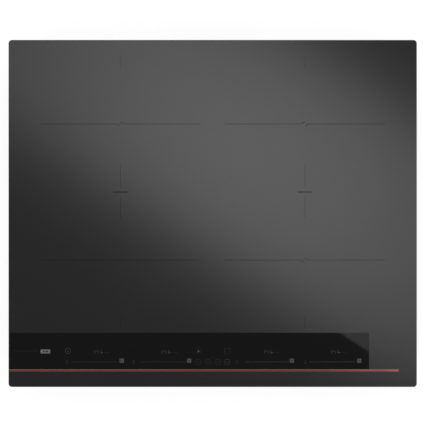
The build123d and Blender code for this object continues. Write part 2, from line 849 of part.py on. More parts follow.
with BuildPart() as transistors:
    body_low = board_top + transistor_legs
    for side, name in SIDES:
        x0, x1 = sorted((side * (sink_flank - transistor_depth), side * sink_flank))
        for place in range(transistors_per_sink):
            y = sink_front + (place + 0.5) * transistor_pitch
            y0 = y - transistor_width / 2
            y1 = y + transistor_width / 2
            block(x0, x1, y0, y1, body_low, body_low + transistor_height)
            for leg in (-1, 0, 1):
                peg((x0 + x1) / 2, y + leg * leg_pitch, leg_radius, board_top, body_low)
transistors.part.label = "power_transistors"
export_step(transistors.part, "parts/power_transistors.step")

capacitor_x = board_inner + lug * 2 + capacitor_length / 2
capacitor_start = board_front + lug + capacitor_width

with BuildPart() as capacitors:
    spots = [
        (side * capacitor_x, capacitor_start + place * capacitor_pitch)
        for side, name in SIDES for place in range(capacitors_per_board)
    ]
    spots += [(side * (capacitor_length / 2 + part_gap), filter_y - lug) for side, name in SIDES]
    for x, y in spots:
        block(
            x - capacitor_length / 2, x + capacitor_length / 2,
            y - capacitor_width / 2, y + capacitor_width / 2,
            board_top, board_top + capacitor_height,
        )
    fillet(capacitors.edges().filter_by(Axis.Z), capacitor_round)
capacitors.part.label = "film_capacitors"
export_step(capacitors.part, "parts/film_capacitors.step")

outer_choke_x = sink_x + sink_width / 2 + part_gap + choke_radius
inner_choke_x = board_inner + 2 * lug + choke_radius
choke_spots = [(side * outer_choke_x, (board_front + board_rear) / 2) for side, name in SIDES]
choke_spots += [(side * inner_choke_x, board_rear - 2 * choke_radius) for side, name in SIDES]
choke_spots += [(0.0, filter_rear - 2 * lug - choke_radius)]

with BuildPart() as chokes:
    for x, y in choke_spots:
        peg(x, y, choke_radius, board_top, board_top + choke_height)
        peg(x, y, choke_hole, board_top, board_top + choke_height, Mode.SUBTRACT)
    fillet(chokes.edges(), choke_round)
chokes.part.label = "chokes"
export_step(chokes.part, "parts/chokes.step")

with BuildPart() as relays:
    for side, name in SIDES:
        x = side * (relay_length / 2 + relay_gap)
        y = filter_front + lug + relay_width
        block(
            x - relay_length / 2, x + relay_length / 2, y - relay_width / 2, y + relay_width / 2,
            board_top, board_top + relay_height,
        )
    fillet(relays.edges().filter_by(Axis.Z), relay_round)
relays.part.label = "relays"
export_step(relays.part, "parts/relays.step")

# ---------------------------------------------------------------- radial fans
fan_floor = sheet + fan_wall
cover_low = parts_top - fan_wall
rotor_low = fan_floor + rotor_floor_gap
rotor_high = cover_low - rotor_top_gap
motor_low = cover_low - motor_height
cup_radius = motor_radius + rotor_cup_gap
cup_low = motor_low - rotor_cup_gap - rotor_cup_wall


def fan_outline(side, wall):
    """Draws the fan's scroll and its outlet duct, set in from the outer faces by a wall."""
    with BuildSketch() as outline:
        with Locations((side * fan_x, fan_y)):
            Circle(fan_radius - wall)
        with Locations((side * sink_x, (fan_front - wall + fan_y) / 2)):
            Rectangle(sink_width + 2 * (fan_wall - wall), fan_y - fan_front + wall)
    return outline.sketch


for side, name in SIDES:
    outer = fan_outline(side, 0.0)
    passage = fan_outline(side, fan_wall)

    with BuildPart() as housing:
        extrude(outer.moved(Location((0, 0, sheet))), amount=cover_low - sheet)
        air = passage.moved(Location((0, 0, fan_floor)))
        extrude(air, amount=cover_low - fan_floor, mode=Mode.SUBTRACT)
        peg(side * fan_x, fan_y, fan_intake_radius, sheet, fan_floor, Mode.SUBTRACT)
    housing.part.label = f"fan_housing_{name}"
    export_step(housing.part, f"parts/fan_housing_{name}.step")

    with BuildPart() as lid:
        extrude(outer.moved(Location((0, 0, cover_low))), amount=fan_wall)
        peg(side * fan_x, fan_y, motor_radius / 2, cover_low, parts_top, Mode.SUBTRACT)
    lid.part.label = f"fan_cover_{name}"
    export_step(lid.part, f"parts/fan_cover_{name}.step")

    with BuildPart() as rotor:
        peg(side * fan_x, fan_y, cup_radius + rotor_cup_wall, cup_low, rotor_high)
        peg(side * fan_x, fan_y, rotor_radius, rotor_high - rotor_disc, rotor_high)
        peg(side * fan_x, fan_y, cup_radius, cup_low + rotor_cup_wall, rotor_high, Mode.SUBTRACT)
        peg(side * fan_x, fan_y, shaft_radius, cup_low, rotor_high)
        with BuildSketch(Plane.XY.offset(rotor_low)):
            with Locations((side * fan_x, fan_y)):
                with PolarLocations(rotor_radius - blade_length / 2, rotor_blades):
                    Rectangle(blade_length, blade_metal, rotation=side * blade_pitch)
        extrude(amount=rotor_high - rotor_disc - rotor_low)
        with BuildSketch(Plane.XY.offset(rotor_low)):
            with Locations((side * fan_x, fan_y)):
                Circle(rotor_radius)
                Circle(rotor_radius - rotor_ring, mode=Mode.SUBTRACT)
        extrude(amount=rotor_disc)
    rotor.part.label = f"fan_rotor_{name}"
    export_step(rotor.part, f"parts/fan_rotor_{name}.step")

with BuildPart() as motors:
    for side, name in SIDES:
        peg(side * fan_x, fan_y, motor_radius, motor_low, cover_low)
        with BuildSketch(Plane.XY.offset(motor_low)):
            with Locations((side * fan_x, fan_y)):
                with PolarLocations(motor_radius, motor_slots):
                    Rectangle(motor_radius / 2, motor_radius / 4)
        extrude(amount=motor_height - fan_wall, mode=Mode.SUBTRACT)
        peg(side * fan_x, fan_y, shaft_radius + shaft_gap, motor_low, cover_low, Mode.SUBTRACT)
motors.part.label = "fan_motors"
export_step(motors.part, "parts/fan_motors.step")

# ---------------------------------------------------------------- terminal box, recessed in the rear wall
half = box_length / 2
inside = half - box_wall
floor_z = box_low + box_wall
roof_z = box_high - box_wall
cover_y1 = wall_y - cover_recess
cover_y0 = cover_y1 - cover_thickness
cover_axis_y = (cover_y0 + cover_y1) / 2
cover_axis_z = floor_z + cover_foot_gap + cover_thickness / 2
panel_x = inside - entry_width
divider_x = panel_x - box_wall
cable_x = (panel_x + inside) / 2
cable_z = (floor_z + roof_z) / 2
clamp_y = wall_y - clamp_back
clamp_z = cable_z + cable_radius
block_y0 = box_front + block_front_gap
block_x0 = -inside + block_end_gap
block_x1 = block_x0 + pole_count * pole_pitch
ledge_y = cover_y0 - soft_gap
lip_y = wall_y + box_lip_thickness

with BuildPart() as terminal_box:
    block(-half, half, box_front, wall_y, box_low, box_high)
    block(-half - box_lip, half + box_lip, wall_y, lip_y, box_low - box_lip, box_high + box_lip)
    block(-inside, inside, box_front + box_wall, lip_y, floor_z, roof_z, Mode.SUBTRACT)
    block(panel_x, inside, cover_y0, cover_y1, floor_z, roof_z)
    block(divider_x, panel_x, ledge_y - cover_ledge, lip_y, floor_z, roof_z)
    block(-inside, divider_x, ledge_y - cover_ledge, ledge_y, roof_z - cover_ledge, roof_z)
    block(-inside, -inside + cover_ledge, ledge_y - cover_ledge, ledge_y, floor_z, roof_z)
    rod((cable_x, cover_y1, cable_z), (0, -1, 0), cable_radius + cable_collar, cable_collar_length)
    rod((cable_x, cover_y1, cable_z), (0, -1, 0), cable_radius, cable_collar_length, Mode.SUBTRACT)
    pin_start = (-half - overcut, cover_axis_y, cover_axis_z)
    pin_reach = panel_x + half + overcut
    rod(pin_start, (1, 0, 0), cover_pin_radius + cover_pin_gap, pin_reach, Mode.SUBTRACT)
    for shift in (-clamp_spread, clamp_spread):
        peg(cable_x + shift, clamp_y, clamp_boss_radius, floor_z, clamp_z)
        hole_low = clamp_z - clamp_screw_length
        peg(cable_x + shift, clamp_y, board_screw_radius + thread_gap, hole_low, clamp_z, Mode.SUBTRACT)
    for x in main_lead_xs:
        start = (x, box_front - overcut, lead_z)
        rod(start, (0, 1, 0), lead_hole_radius, box_wall + 2 * overcut, Mode.SUBTRACT)
terminal_box.part.label = "terminal_box"
export_step(terminal_box.part, "parts/terminal_box.step")

with BuildPart() as cover:
    x0 = -inside + cover_end_gap
    x1 = divider_x - cover_end_gap
    block(x0, x1, cover_y0, cover_y1, cover_axis_z, roof_z - cover_end_gap)
    rod((x0, cover_axis_y, cover_axis_z), (1, 0, 0), cover_thickness / 2, x1 - x0)
    pin_span = x1 - x0 + 2 * cover_pin_length
    rod((x0 - cover_pin_length, cover_axis_y, cover_axis_z), (1, 0, 0), cover_pin_radius, pin_span)
    tab_x0 = (x0 + x1 - cover_tab) / 2
    tab_z = roof_z - cover_tab_drop
    block(tab_x0, tab_x0 + cover_tab, cover_y1, wall_y + cover_recess, tab_z, tab_z + cover_thickness)
cover.part.label = "terminal_cover"
export_step(cover.part, "parts/terminal_cover.step")

with BuildPart() as terminal_block:
    block(block_x0, block_x1, block_y0, block_y0 + block_depth, floor_z, floor_z + block_height)
    for pole in range(pole_count):
        x = block_x0 + (pole + 0.5) * pole_pitch
        y = block_y0 + block_depth / 2
        top = floor_z + block_height
        peg(x, y, pole_well_radius, top - pole_well, top, Mode.SUBTRACT)
        rod((x, block_y0 + block_depth, lead_z), (0, -1, 0), lead_hole_radius, pole_well, Mode.SUBTRACT)
        if pole:
            cut_x = block_x0 + pole * pole_pitch - pole_cut / 2
            block(
                cut_x, cut_x + pole_cut, block_y0, block_y0 + block_depth,
                top - pole_cut_depth, top, Mode.SUBTRACT,
            )
terminal_block.part.label = "terminal_block"
export_step(terminal_block.part, "parts/terminal_block.step")

with BuildPart() as terminal_screws:
    for pole in range(pole_count):
        x = block_x0 + (pole + 0.5) * pole_pitch
        y = block_y0 + block_depth / 2
        low = floor_z + block_height - pole_well
        high = low + pole_screw_height
        peg(x, y, pole_screw_radius, low, high)
        block(
            x - pole_screw_radius, x + pole_screw_radius, y - pole_slot / 2, y + pole_slot / 2,
            high - pole_slot_depth, high, Mode.SUBTRACT,
        )
    for shift in (-clamp_spread, clamp_spread):
        pan_screw(
            (cable_x + shift, clamp_y, clamp_z + clamp_thickness), (0, 0, 1),
            board_head_radius, board_head_height, board_screw_radius, clamp_screw_length,
        )
terminal_screws.part.label = "terminal_screws"
export_step(terminal_screws.part, "parts/terminal_screws.step")

with BuildPart() as clamp:
    reach = clamp_spread + clamp_boss_radius - fit_gap
    block(
        cable_x - reach, cable_x + reach, clamp_y - clamp_width / 2, clamp_y + clamp_width / 2,
        clamp_z, clamp_z + clamp_thickness,
    )
    fillet(clamp.edges().filter_by(Axis.Z), clamp_round)
    for shift in (-clamp_spread, clamp_spread):
        hole_radius = board_screw_radius + fit_gap
        peg(cable_x + shift, clamp_y, hole_radius, clamp_z, clamp_z + clamp_thickness, Mode.SUBTRACT)
clamp.part.label = "cable_clamp"
export_step(clamp.part, "parts/cable_clamp.step")

# ---------------------------------------------------------------- touch controls under the glass
slider_starts = (
    -touch_x + outer_slider_inset,
    -touch_x + outer_slider_inset + left_slider_pitch,
    touch_x - last_slider_inset - right_slider_pitch,
    touch_x - last_slider_inset,
)
slider_y = front + slider_from_front
display_y = front + display_from_front
y0 = touch_y - touch_depth / 2
y1 = touch_y + touch_depth / 2

with BuildPart() as touch_board:
    block(-touch_x, touch_x, y0, y1, touch_bottom, touch_top)
touch_board.part.label = "touch_board"
export_step(touch_board.part, "parts/touch_board.step")

with BuildPart() as holder:
    gap = fit_gap
    rim = fit_gap + touch_wall
    rim_top = touch_top + touch_rim
    block(-touch_x - rim, touch_x + rim, y0 - rim, y1 + rim, holder_bottom, rim_top)
    block(-touch_x - gap, touch_x + gap, y0 - gap, y1 + gap, touch_bottom, rim_top, Mode.SUBTRACT)
    block(
        -touch_x + touch_wall, touch_x - touch_wall, y0 + touch_wall, y1 - touch_wall,
        holder_top, touch_bottom, Mode.SUBTRACT,
    )
    for x in (-touch_x + touch_leg_inset, -touch_leg_mid, touch_leg_mid, touch_x - touch_leg_inset):
        for y in (touch_y - touch_leg_spread, touch_y + touch_leg_spread):
            peg(x, y, touch_leg_radius, sheet, holder_bottom)
holder.part.label = "touch_holder"
export_step(holder.part, "parts/touch_holder.step")

with BuildPart() as pads:
    spots = [
        (start + (key + 0.5) * slider_length / slider_pads, slider_y)
        for start in slider_starts for key in range(slider_pads)
    ]
    spots += [(x, slider_y) for x in menu_key_xs]
    spots += [(x, display_y + key_above_display) for x in upper_key_xs + (-touch_x + end_key_inset,)]
    for x, y in spots:
        peg(x, y, pad_radius, touch_top, glass_bottom)
pads.part.label = "touch_pads"
export_step(pads.part, "parts/touch_pads.step")

with BuildPart() as displays:
    for start in slider_starts:
        x = start + slider_length * 2 / 3
        block(
            x - display_length / 2, x + display_length / 2, display_y - display_width / 2,
            display_y + display_width / 2, touch_top, glass_bottom - soft_gap,
        )
displays.part.label = "display_modules"
export_step(displays.part, "parts/display_modules.step")

# ---------------------------------------------------------------- wiring inside the casing


def wire(points, radius, bends):
    """Adds a round wire along straight runs joined by tangent arcs."""
    with BuildLine() as route:
        FilletPolyline(*points, radius=bends)
    with BuildSketch(Plane(origin=route.line @ 0, z_dir=route.line % 0)) as section:
        Circle(radius)
    sweep(section.sketch, path=route.line)


low_x = board_inner + coil_lead_run
high_x = zone_x - coil_lead_inset
flex_y = touch_y + touch_depth / 4

with BuildPart() as loom:
    for x in main_lead_xs:
        rod((x, filter_rear, lead_z), (0, 1, 0), lead_radius, block_y0 - filter_rear)
    for side, name in SIDES:
        rod((side * filter_length / 2, lug_y, lead_z), (side, 0, 0), lead_radius, filter_gap)
        for row_y, row in ROWS:
            foot_y = min(row_y, board_rear - lug)
            for shift in (-coil_lead_spread, coil_lead_spread):
                wire(
                    [
                        (side * low_x + shift, foot_y, board_top),
                        (side * low_x + shift, foot_y, board_top + coil_lead_rise),
                        (side * high_x + shift, row_y, plate_bottom - coil_lead_drop),
                        (side * high_x + shift, row_y, plate_top),
                    ],
                    lead_radius, coil_lead_bends,
                )
        wire(
            [
                (side * flex_x, flex_y, holder_bottom),
                (side * flex_x, flex_y, board_top + flex_rise),
                (side * flex_x, board_front + lug, board_top + flex_fall),
                (side * flex_x, board_front + lug, board_top),
            ],
            lead_radius, flex_bends,
        )
loom.part.label = "wiring_loom"
export_step(loom.part, "parts/wiring_loom.step")
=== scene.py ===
"""Looks of a built-in induction hob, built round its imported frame.

Metres throughout, in the frame's own axes: +X to the cook's right, +Y to the rear, +Z up.
"""

from __future__ import annotations

import json
import logging
import math
from dataclasses import dataclass
from enum import Enum
from typing import Any, Iterable, Optional, Sequence

import bmesh
import bpy
from mathutils import Matrix, Vector

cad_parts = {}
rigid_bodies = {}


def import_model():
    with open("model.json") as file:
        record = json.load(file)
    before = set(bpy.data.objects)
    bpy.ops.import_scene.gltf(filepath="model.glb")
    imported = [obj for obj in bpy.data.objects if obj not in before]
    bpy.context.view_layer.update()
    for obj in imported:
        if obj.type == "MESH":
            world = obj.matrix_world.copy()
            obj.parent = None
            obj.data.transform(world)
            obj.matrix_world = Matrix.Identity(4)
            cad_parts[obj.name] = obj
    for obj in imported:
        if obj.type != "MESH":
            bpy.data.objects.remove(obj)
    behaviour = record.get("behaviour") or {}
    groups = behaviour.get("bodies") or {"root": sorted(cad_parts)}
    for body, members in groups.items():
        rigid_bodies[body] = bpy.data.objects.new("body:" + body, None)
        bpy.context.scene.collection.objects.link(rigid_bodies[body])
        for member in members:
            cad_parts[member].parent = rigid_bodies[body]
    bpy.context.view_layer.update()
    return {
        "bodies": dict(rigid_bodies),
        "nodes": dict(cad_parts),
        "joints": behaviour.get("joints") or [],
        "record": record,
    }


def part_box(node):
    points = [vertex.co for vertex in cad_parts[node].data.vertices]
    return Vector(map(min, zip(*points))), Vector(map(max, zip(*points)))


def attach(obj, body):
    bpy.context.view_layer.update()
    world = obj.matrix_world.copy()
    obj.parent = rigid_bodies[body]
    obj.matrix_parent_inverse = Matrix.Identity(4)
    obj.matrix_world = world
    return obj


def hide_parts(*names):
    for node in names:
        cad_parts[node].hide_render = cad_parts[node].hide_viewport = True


Colour = tuple[float, float, float]
Point = tuple[float, float]
Bar = tuple[float, float, float, float]
Dot = tuple[float, float, float]
Drawn = tuple[Any, Any]
Socket = bpy.types.NodeSocket
Node = bpy.types.Node
Tree = bpy.types.NodeTree
Mesh = bmesh.types.BMesh
Edge = bmesh.types.BMEdge
Vert = bmesh.types.BMVert

MM = 0.001
SIDES = (-1, 1)
log = logging.getLogger("hob")


# ---- node trees


class Graph:
    """Short calls for wiring one node tree."""

    def __init__(self, tree: Tree) -> None:
        """Keeps the tree that is being wired."""
        self.tree = tree

    def add(self, kind: str, sockets: Optional[dict[Any, Any]] = None, **settings: Any) -> Node:
        """Adds a node.

        Args:
            kind: the node type without its "ShaderNode" prefix.
            sockets: values or source sockets, by the input's name or number.
            settings: properties of the node itself.

        Returns:
            The new node.
        """
        prefix = "" if kind.startswith("Node") else "ShaderNode"
        node = self.tree.nodes.new(prefix + kind)
        for key, value in settings.items():
            setattr(node, key, value)
        for key, value in (sockets or {}).items():
            self.feed(node.inputs[key], value)
        return node

    def feed(self, socket: Socket, value: Any) -> None:
        """Links a source socket to an input, or sets the input's own value.

        Args:
            socket: the input.
            value: a source socket, or the input's own value.
        """
        if isinstance(value, Socket):
            self.tree.links.new(value, socket)
        else:
            socket.default_value = value

    def math(self, operation: str, first: Any, second: Any = 0.0, clamp: bool = False) -> Socket:
        """Adds a Math node and returns its output.

        Args:
            operation: what the node works out.
            first: its first value or source socket.
            second: its second one.
            clamp: whether the result stays within 0 and 1.

        Returns:
            The node's output.
        """
        node = self.add("Math", operation=operation, use_clamp=clamp)
        self.feed(node.inputs[0], first)
        self.feed(node.inputs[1], second)
        return node.outputs[0]

    def times(self, first: Any, second: Any) -> Socket:
        """Multiplies two values and returns the output."""
        return self.math("MULTIPLY", first, second)

    def weigh(self, first: Any, first_share: Any, second: Any, second_share: Any) -> Socket:
        """Adds two values, each times its share, and returns the output."""
        return self.math("ADD", self.times(first, first_share), self.times(second, second_share))

    def blend_colour(self, factor: Any, first: Any, second: Any) -> Socket:
        """Blends two colours by a factor and returns the output."""
        return self.add("Mix", {0: factor, 6: first, 7: second}, data_type="RGBA").outputs[2]

    def blend_value(self, factor: Any, first: Any, second: Any) -> Socket:
        """Blends two values by a factor and returns the output."""
        return self.add("Mix", {0: factor, 2: first, 3: second}, data_type="FLOAT").outputs[0]

    def remap(self, value: Any, low: float, high: float, to_low: float, to_high: float) -> Socket:
        """Maps a range of values onto another, clamped, and returns the output."""
        ends = {"From Min": low, "From Max": high, "To Min": to_low, "To Max": to_high}
        return self.add("MapRange", {"Value": value, **ends}).outputs["Result"]

    def noise(self, vector: Any, scale: Any, detail: float = 2.0, rough: float = 0.5) -> Socket:
        """Adds a noise texture and returns its grey output."""
        sockets = {"Vector": vector, "Scale": scale, "Detail": detail, "Roughness": rough}
        return self.add("TexNoise", sockets).outputs[0]

    def cells(self, vector: Any, scale: Any, feature: str = "F1") -> Node:
        """Adds a Voronoi texture node."""
        return self.add("TexVoronoi", {"Vector": vector, "Scale": scale}, feature=feature)


def new_group(name: str, values: Sequence[str], results: Sequence[str]) -> tuple[Graph, Node, Node]:
    """Starts a node group that takes a Vector and some values.

    Args:
        name: the group's name.
        values: names of its plain inputs.
        results: names of its outputs.

    Returns:
        The group's graph, its input node and its output node.
    """
    tree = bpy.data.node_groups.new(name, "ShaderNodeTree")
    tree.interface.new_socket("Vector", in_out="INPUT", socket_type="NodeSocketVector")
    for value in values:
        tree.interface.new_socket(value, in_out="INPUT", socket_type="NodeSocketFloat")
    for result in results:
        tree.interface.new_socket(result, in_out="OUTPUT", socket_type="NodeSocketFloat")
    graph = Graph(tree)
    return graph, graph.add("NodeGroupInput"), graph.add("NodeGroupOutput")


class Pattern(Enum):
    """The surface structures that the finishes are made of."""

    MOULDED = "Moulded grain"
    BRUSHED = "Brushed metal"
    SPANGLE = "Zinc spangle"
    FOAM = "Foam cells"
    FLECK = "Printed fleck"
    BOARD = "Board tracks"
    STRANDS = "Twisted strands"
    FLAKES = "Pressed flakes"


class PatternGroups:
    """Builds each pattern once, as a node group with Tone and Height outputs.

    The method that draws a pattern has the pattern's own name in small letters.
    """

    WARP = 4.0 * MM

    def __init__(self) -> None:
        """Starts with no group made."""
        self.made: dict[Pattern, Tree] = {}

    def get(self, pattern: Pattern) -> Tree:
        """Returns the pattern's node group, and builds it on first use.

        Args:
            pattern: the pattern wanted.

        Returns:
            Its node group.
        """
        if pattern not in self.made:
            graph, source, sink = new_group(pattern.value, ("Scale",), ("Tone", "Height"))
            draw = getattr(self, pattern.name.lower())
            tone, height = draw(graph, source.outputs["Vector"], source.outputs["Scale"])
            graph.feed(sink.inputs["Tone"], tone)
            graph.feed(sink.inputs["Height"], height)
            self.made[pattern] = graph.tree
        return self.made[pattern]

    @staticmethod
    def moulded(graph: Graph, vector: Any, scale: Any) -> Drawn:
        """Draws a fine spark-eroded grain with a slow cloud in its tone.

        Args:
            graph: the group's graph.
            vector: the place on the surface.
            scale: the pattern's scale.

        Returns:
            The pattern's tone and height.
        """
        cloud = graph.noise(vector, graph.times(scale, 0.03), detail=3.0)
        grain = graph.cells(vector, scale).outputs["Distance"]
        fine = graph.noise(vector, graph.times(scale, 1.7))
        tone = graph.weigh(cloud, 0.7, fine, 0.3)
        return graph.remap(tone, 0.3, 0.7, 0.0, 1.0), graph.math("ADD", grain, graph.times(fine, 0.5))

    @staticmethod
    def brushed(graph: Graph, vector: Any, scale: Any) -> Drawn:
        """Draws fine parallel lines with broader bands among them.

        Args:
            graph: the group's graph.
            vector: the place on the surface.
            scale: the pattern's scale.

        Returns:
            The pattern's tone and height.
        """
        lines = graph.noise(vector, scale, detail=3.0, rough=0.7)
        bands = graph.noise(vector, graph.times(scale, 0.2))
        mixed = graph.weigh(lines, 0.6, bands, 0.4)
        return graph.remap(mixed, 0.35, 0.65, 0.0, 1.0), lines

    @classmethod
    def spangle(cls, graph: Graph, vector: Any, scale: Any) -> Drawn:
        """Draws frost-like crystals of many sizes, each with its own tone.

        Args:
            graph: the group's graph.
            vector: the place on the surface.
            scale: the pattern's scale.

        Returns:
            The pattern's tone and height.
        """
        warp = graph.add("TexNoise", {"Vector": vector, "Scale": graph.times(scale, 1.3), "Detail": 2.0})
        shift = graph.add("VectorMath", {0: warp.outputs[1]}, operation="SCALE")
        shift.inputs["Scale"].default_value = cls.WARP
        moved = graph.add("VectorMath", {0: vector, 1: shift.outputs[0]}, operation="ADD").outputs[0]
        crystal = graph.cells(moved, scale)
        parts = graph.add("SeparateColor", {"Color": crystal.outputs["Color"]})
        streak = graph.noise(moved, graph.times(scale, 6.0), detail=3.0)
        tone = graph.weigh(parts.outputs[0], 0.7, streak, 0.3)
        return tone, graph.math("ADD", parts.outputs[1], graph.times(streak, 0.3))

    @staticmethod
    def foam(graph: Graph, vector: Any, scale: Any) -> Drawn:
        """Draws the cut cells of closed-cell foam.

        Args:
            graph: the group's graph.
            vector: the place on the surface.
            scale: the pattern's scale.

        Returns:
            The pattern's tone and height.
        """
        cell = graph.cells(vector, scale)
        wall = graph.cells(vector, scale, "DISTANCE_TO_EDGE").outputs["Distance"]
        return graph.remap(wall, 0.0, 0.15, 1.0, 0.2), graph.math("SUBTRACT", 1.0, cell.outputs["Distance"])

    @staticmethod
    def fleck(graph: Graph, vector: Any, scale: Any) -> Drawn:
        """Draws the fine metallic fleck of a printed enamel, with a slow cloud.

        Args:
            graph: the group's graph.
            vector: the place on the surface.
            scale: the pattern's scale.

        Returns:
            The pattern's tone and height.
        """
        fleck = graph.cells(vector, scale)
        parts = graph.add("SeparateColor", {"Color": fleck.outputs["Color"]})
        cloud = graph.noise(vector, graph.times(scale, 0.004))
        tone = graph.weigh(parts.outputs[0], 0.65, cloud, 0.35)
        return tone, graph.noise(vector, graph.times(scale, 0.8))

    @staticmethod
    def board(graph: Graph, vector: Any, scale: Any) -> Drawn:
        """Draws copper tracks and pads under a solder mask.

        Args:
            graph: the group's graph.
            vector: the place on the surface.
            scale: the pattern's scale.

        Returns:
            The pattern's tone and height.
        """
        tracks = {"Mortar Size": 0.035, "Mortar Smooth": 0.1, "Brick Width": 0.9, "Row Height": 0.22}
        bricks = graph.add("TexBrick", {"Vector": vector, "Scale": scale, **tracks})
        pads = graph.cells(vector, graph.times(scale, 1.1)).outputs["Distance"]
        dots = graph.remap(pads, 0.10, 0.13, 1.0, 0.0)
        tone = graph.math("MAXIMUM", bricks.outputs["Fac"], dots)
        return tone, tone

    @staticmethod
    def strands(graph: Graph, vector: Any, scale: Any) -> Drawn:
        """Draws fine strands laid at a slant round a lead.

        Args:
            graph: the group's graph.
            vector: the place on the surface.
            scale: the pattern's scale.

        Returns:
            The pattern's tone and height.
        """
        twist = {"Distortion": 1.5, "Detail": 2.0, "Detail Scale": 1.5}
        wave = graph.add("TexWave", {"Vector": vector, "Scale": scale, **twist},
                         wave_type="BANDS", bands_direction="DIAGONAL").outputs["Fac"]
        fine = graph.noise(vector, graph.times(scale, 3.0))
        return graph.weigh(wave, 0.7, fine, 0.3), wave

    @staticmethod
    def flakes(graph: Graph, vector: Any, scale: Any) -> Drawn:
        """Draws overlapping pressed flakes.

        Args:
            graph: the group's graph.
            vector: the place on the surface.
            scale: the pattern's scale.

        Returns:
            The pattern's tone and height.
        """
        large = graph.cells(vector, scale)
        small = graph.cells(vector, graph.times(scale, 2.3))
        big = graph.add("SeparateColor", {"Color": large.outputs["Color"]})
        little = graph.add("SeparateColor", {"Color": small.outputs["Color"]})
        tone = graph.weigh(big.outputs[0], 0.5, little.outputs[0], 0.5)
        return tone, tone


def handling_group() -> Tree:
    """Builds the group of faint wipe marks and dust that roughens a used surface.

    Returns:
        A group with Vector, Scale and Amount inputs and a Mask output.
    """
    name = "Handling marks"
    if name in bpy.data.node_groups:
        return bpy.data.node_groups[name]
    graph, source, sink = new_group(name, ("Scale", "Amount"), ("Mask",))
    broad = graph.noise(source.outputs["Vector"], source.outputs["Scale"], detail=4.0, rough=0.6)
    patches = graph.remap(broad, 0.45, 0.75, 0.0, 1.0)
    graph.feed(sink.inputs["Mask"], graph.times(patches, source.outputs["Amount"]))
    return graph.tree


# ---- finishes


@dataclass(frozen=True)
class Finish:
    """One surface finish, dressed onto nodes and new pieces alike."""

    name: str
    slot: str
    pattern: Pattern
    dark: Colour
    light: Colour
    smooth: float
    rough: float
    scale: float
    relief: float
    metallic: float = 0.0
    specular: float = 0.5
    coat: float = 0.0
    marks: float = 0.05
    marks_scale: float = 18.0
    stretch: tuple[float, float, float] = (1.0, 1.0, 1.0)

    def build(self, groups: PatternGroups) -> bpy.types.Material:
        """Makes the finish's material, or returns it if it is already made.

        Args:
            groups: the shared pattern groups.

        Returns:
            The material.
        """
        if self.name in bpy.data.materials:
            return bpy.data.materials[self.name]
        material = bpy.data.materials.new(self.name)
        material.use_nodes = True
        graph = Graph(material.node_tree)
        shader = material.node_tree.nodes["Principled BSDF"]
        place = graph.add("TexCoord").outputs["Object"]
        along = graph.add("Mapping", {"Vector": place, "Scale": self.stretch}).outputs["Vector"]
        pattern = graph.add("Group", node_tree=groups.get(self.pattern))
        graph.feed(pattern.inputs["Vector"], along)
        pattern.inputs["Scale"].default_value = self.scale
        marks = graph.add("Group", node_tree=handling_group())
        graph.feed(marks.inputs["Vector"], place)
        marks.inputs["Scale"].default_value = self.marks_scale
        marks.inputs["Amount"].default_value = self.marks
        tone, height = pattern.outputs["Tone"], pattern.outputs["Height"]
        colour = graph.blend_colour(tone, (*self.dark, 1.0), (*self.light, 1.0))
        plain = graph.remap(tone, 0.0, 1.0, self.rough, self.smooth)
        roughness = graph.math("ADD", plain, marks.outputs["Mask"], clamp=True)
        bump = graph.add("Bump", {"Strength": 1.0, "Distance": self.relief, "Height": height})
        graph.feed(shader.inputs["Base Color"], colour)
        graph.feed(shader.inputs["Roughness"], roughness)
        graph.feed(shader.inputs["Normal"], bump.outputs["Normal"])
        shader.inputs["Metallic"].default_value = self.metallic
        shader.inputs["Specular IOR Level"].default_value = self.specular
        shader.inputs["Coat Weight"].default_value = self.coat
        self.adjust(graph, shader, place)
        return material

    def adjust(self, graph: Graph, shader: Node, place: Any) -> None:
        """Leaves the shader as it is; a finish of its own kind adds to it here."""


@dataclass(frozen=True)
class GlassFinish(Finish):
    """Polished glass-ceramic whose ground edge is paler and less smooth."""

    edge_colour: Colour = (0.05, 0.052, 0.055)
    edge_rough: float = 0.28
    edge_full: float = 0.93
    edge_none: float = 0.995

    def adjust(self, graph: Graph, shader: Node, place: Any) -> None:
        """Swaps in the ground look where the surface leans off level.

        Args:
            graph: the material's graph.
            shader: its shader.
            place: the place on the surface, which this look doesn't need.
        """
        normal = graph.add("TexCoord").outputs["Normal"]
        lean = graph.add("SeparateXYZ", {"Vector": normal}).outputs["Z"]
        edge = graph.remap(graph.math("ABSOLUTE", lean), self.edge_full, self.edge_none, 1.0, 0.0)
        colour, rough = shader.inputs["Base Color"], shader.inputs["Roughness"]
        ground = graph.blend_colour(edge, colour.links[0].from_socket, (*self.edge_colour, 1.0))
        dull = graph.blend_value(edge, rough.links[0].from_socket, self.edge_rough)
        graph.feed(colour, ground)
        graph.feed(rough, dull)


def grey(level: float) -> Colour:
    """Returns a neutral grey of a level."""
    return (level, level, level)


def grey_ink(name: str, dark: float, light: float) -> Finish:
    """Returns the finish of a grey ink in the control window, between two levels."""
    return Finish(name, "printed_glass", Pattern.FLECK, grey(dark), grey(light),
                  smooth=0.08, rough=0.14, scale=4000.0, relief=0.000001)


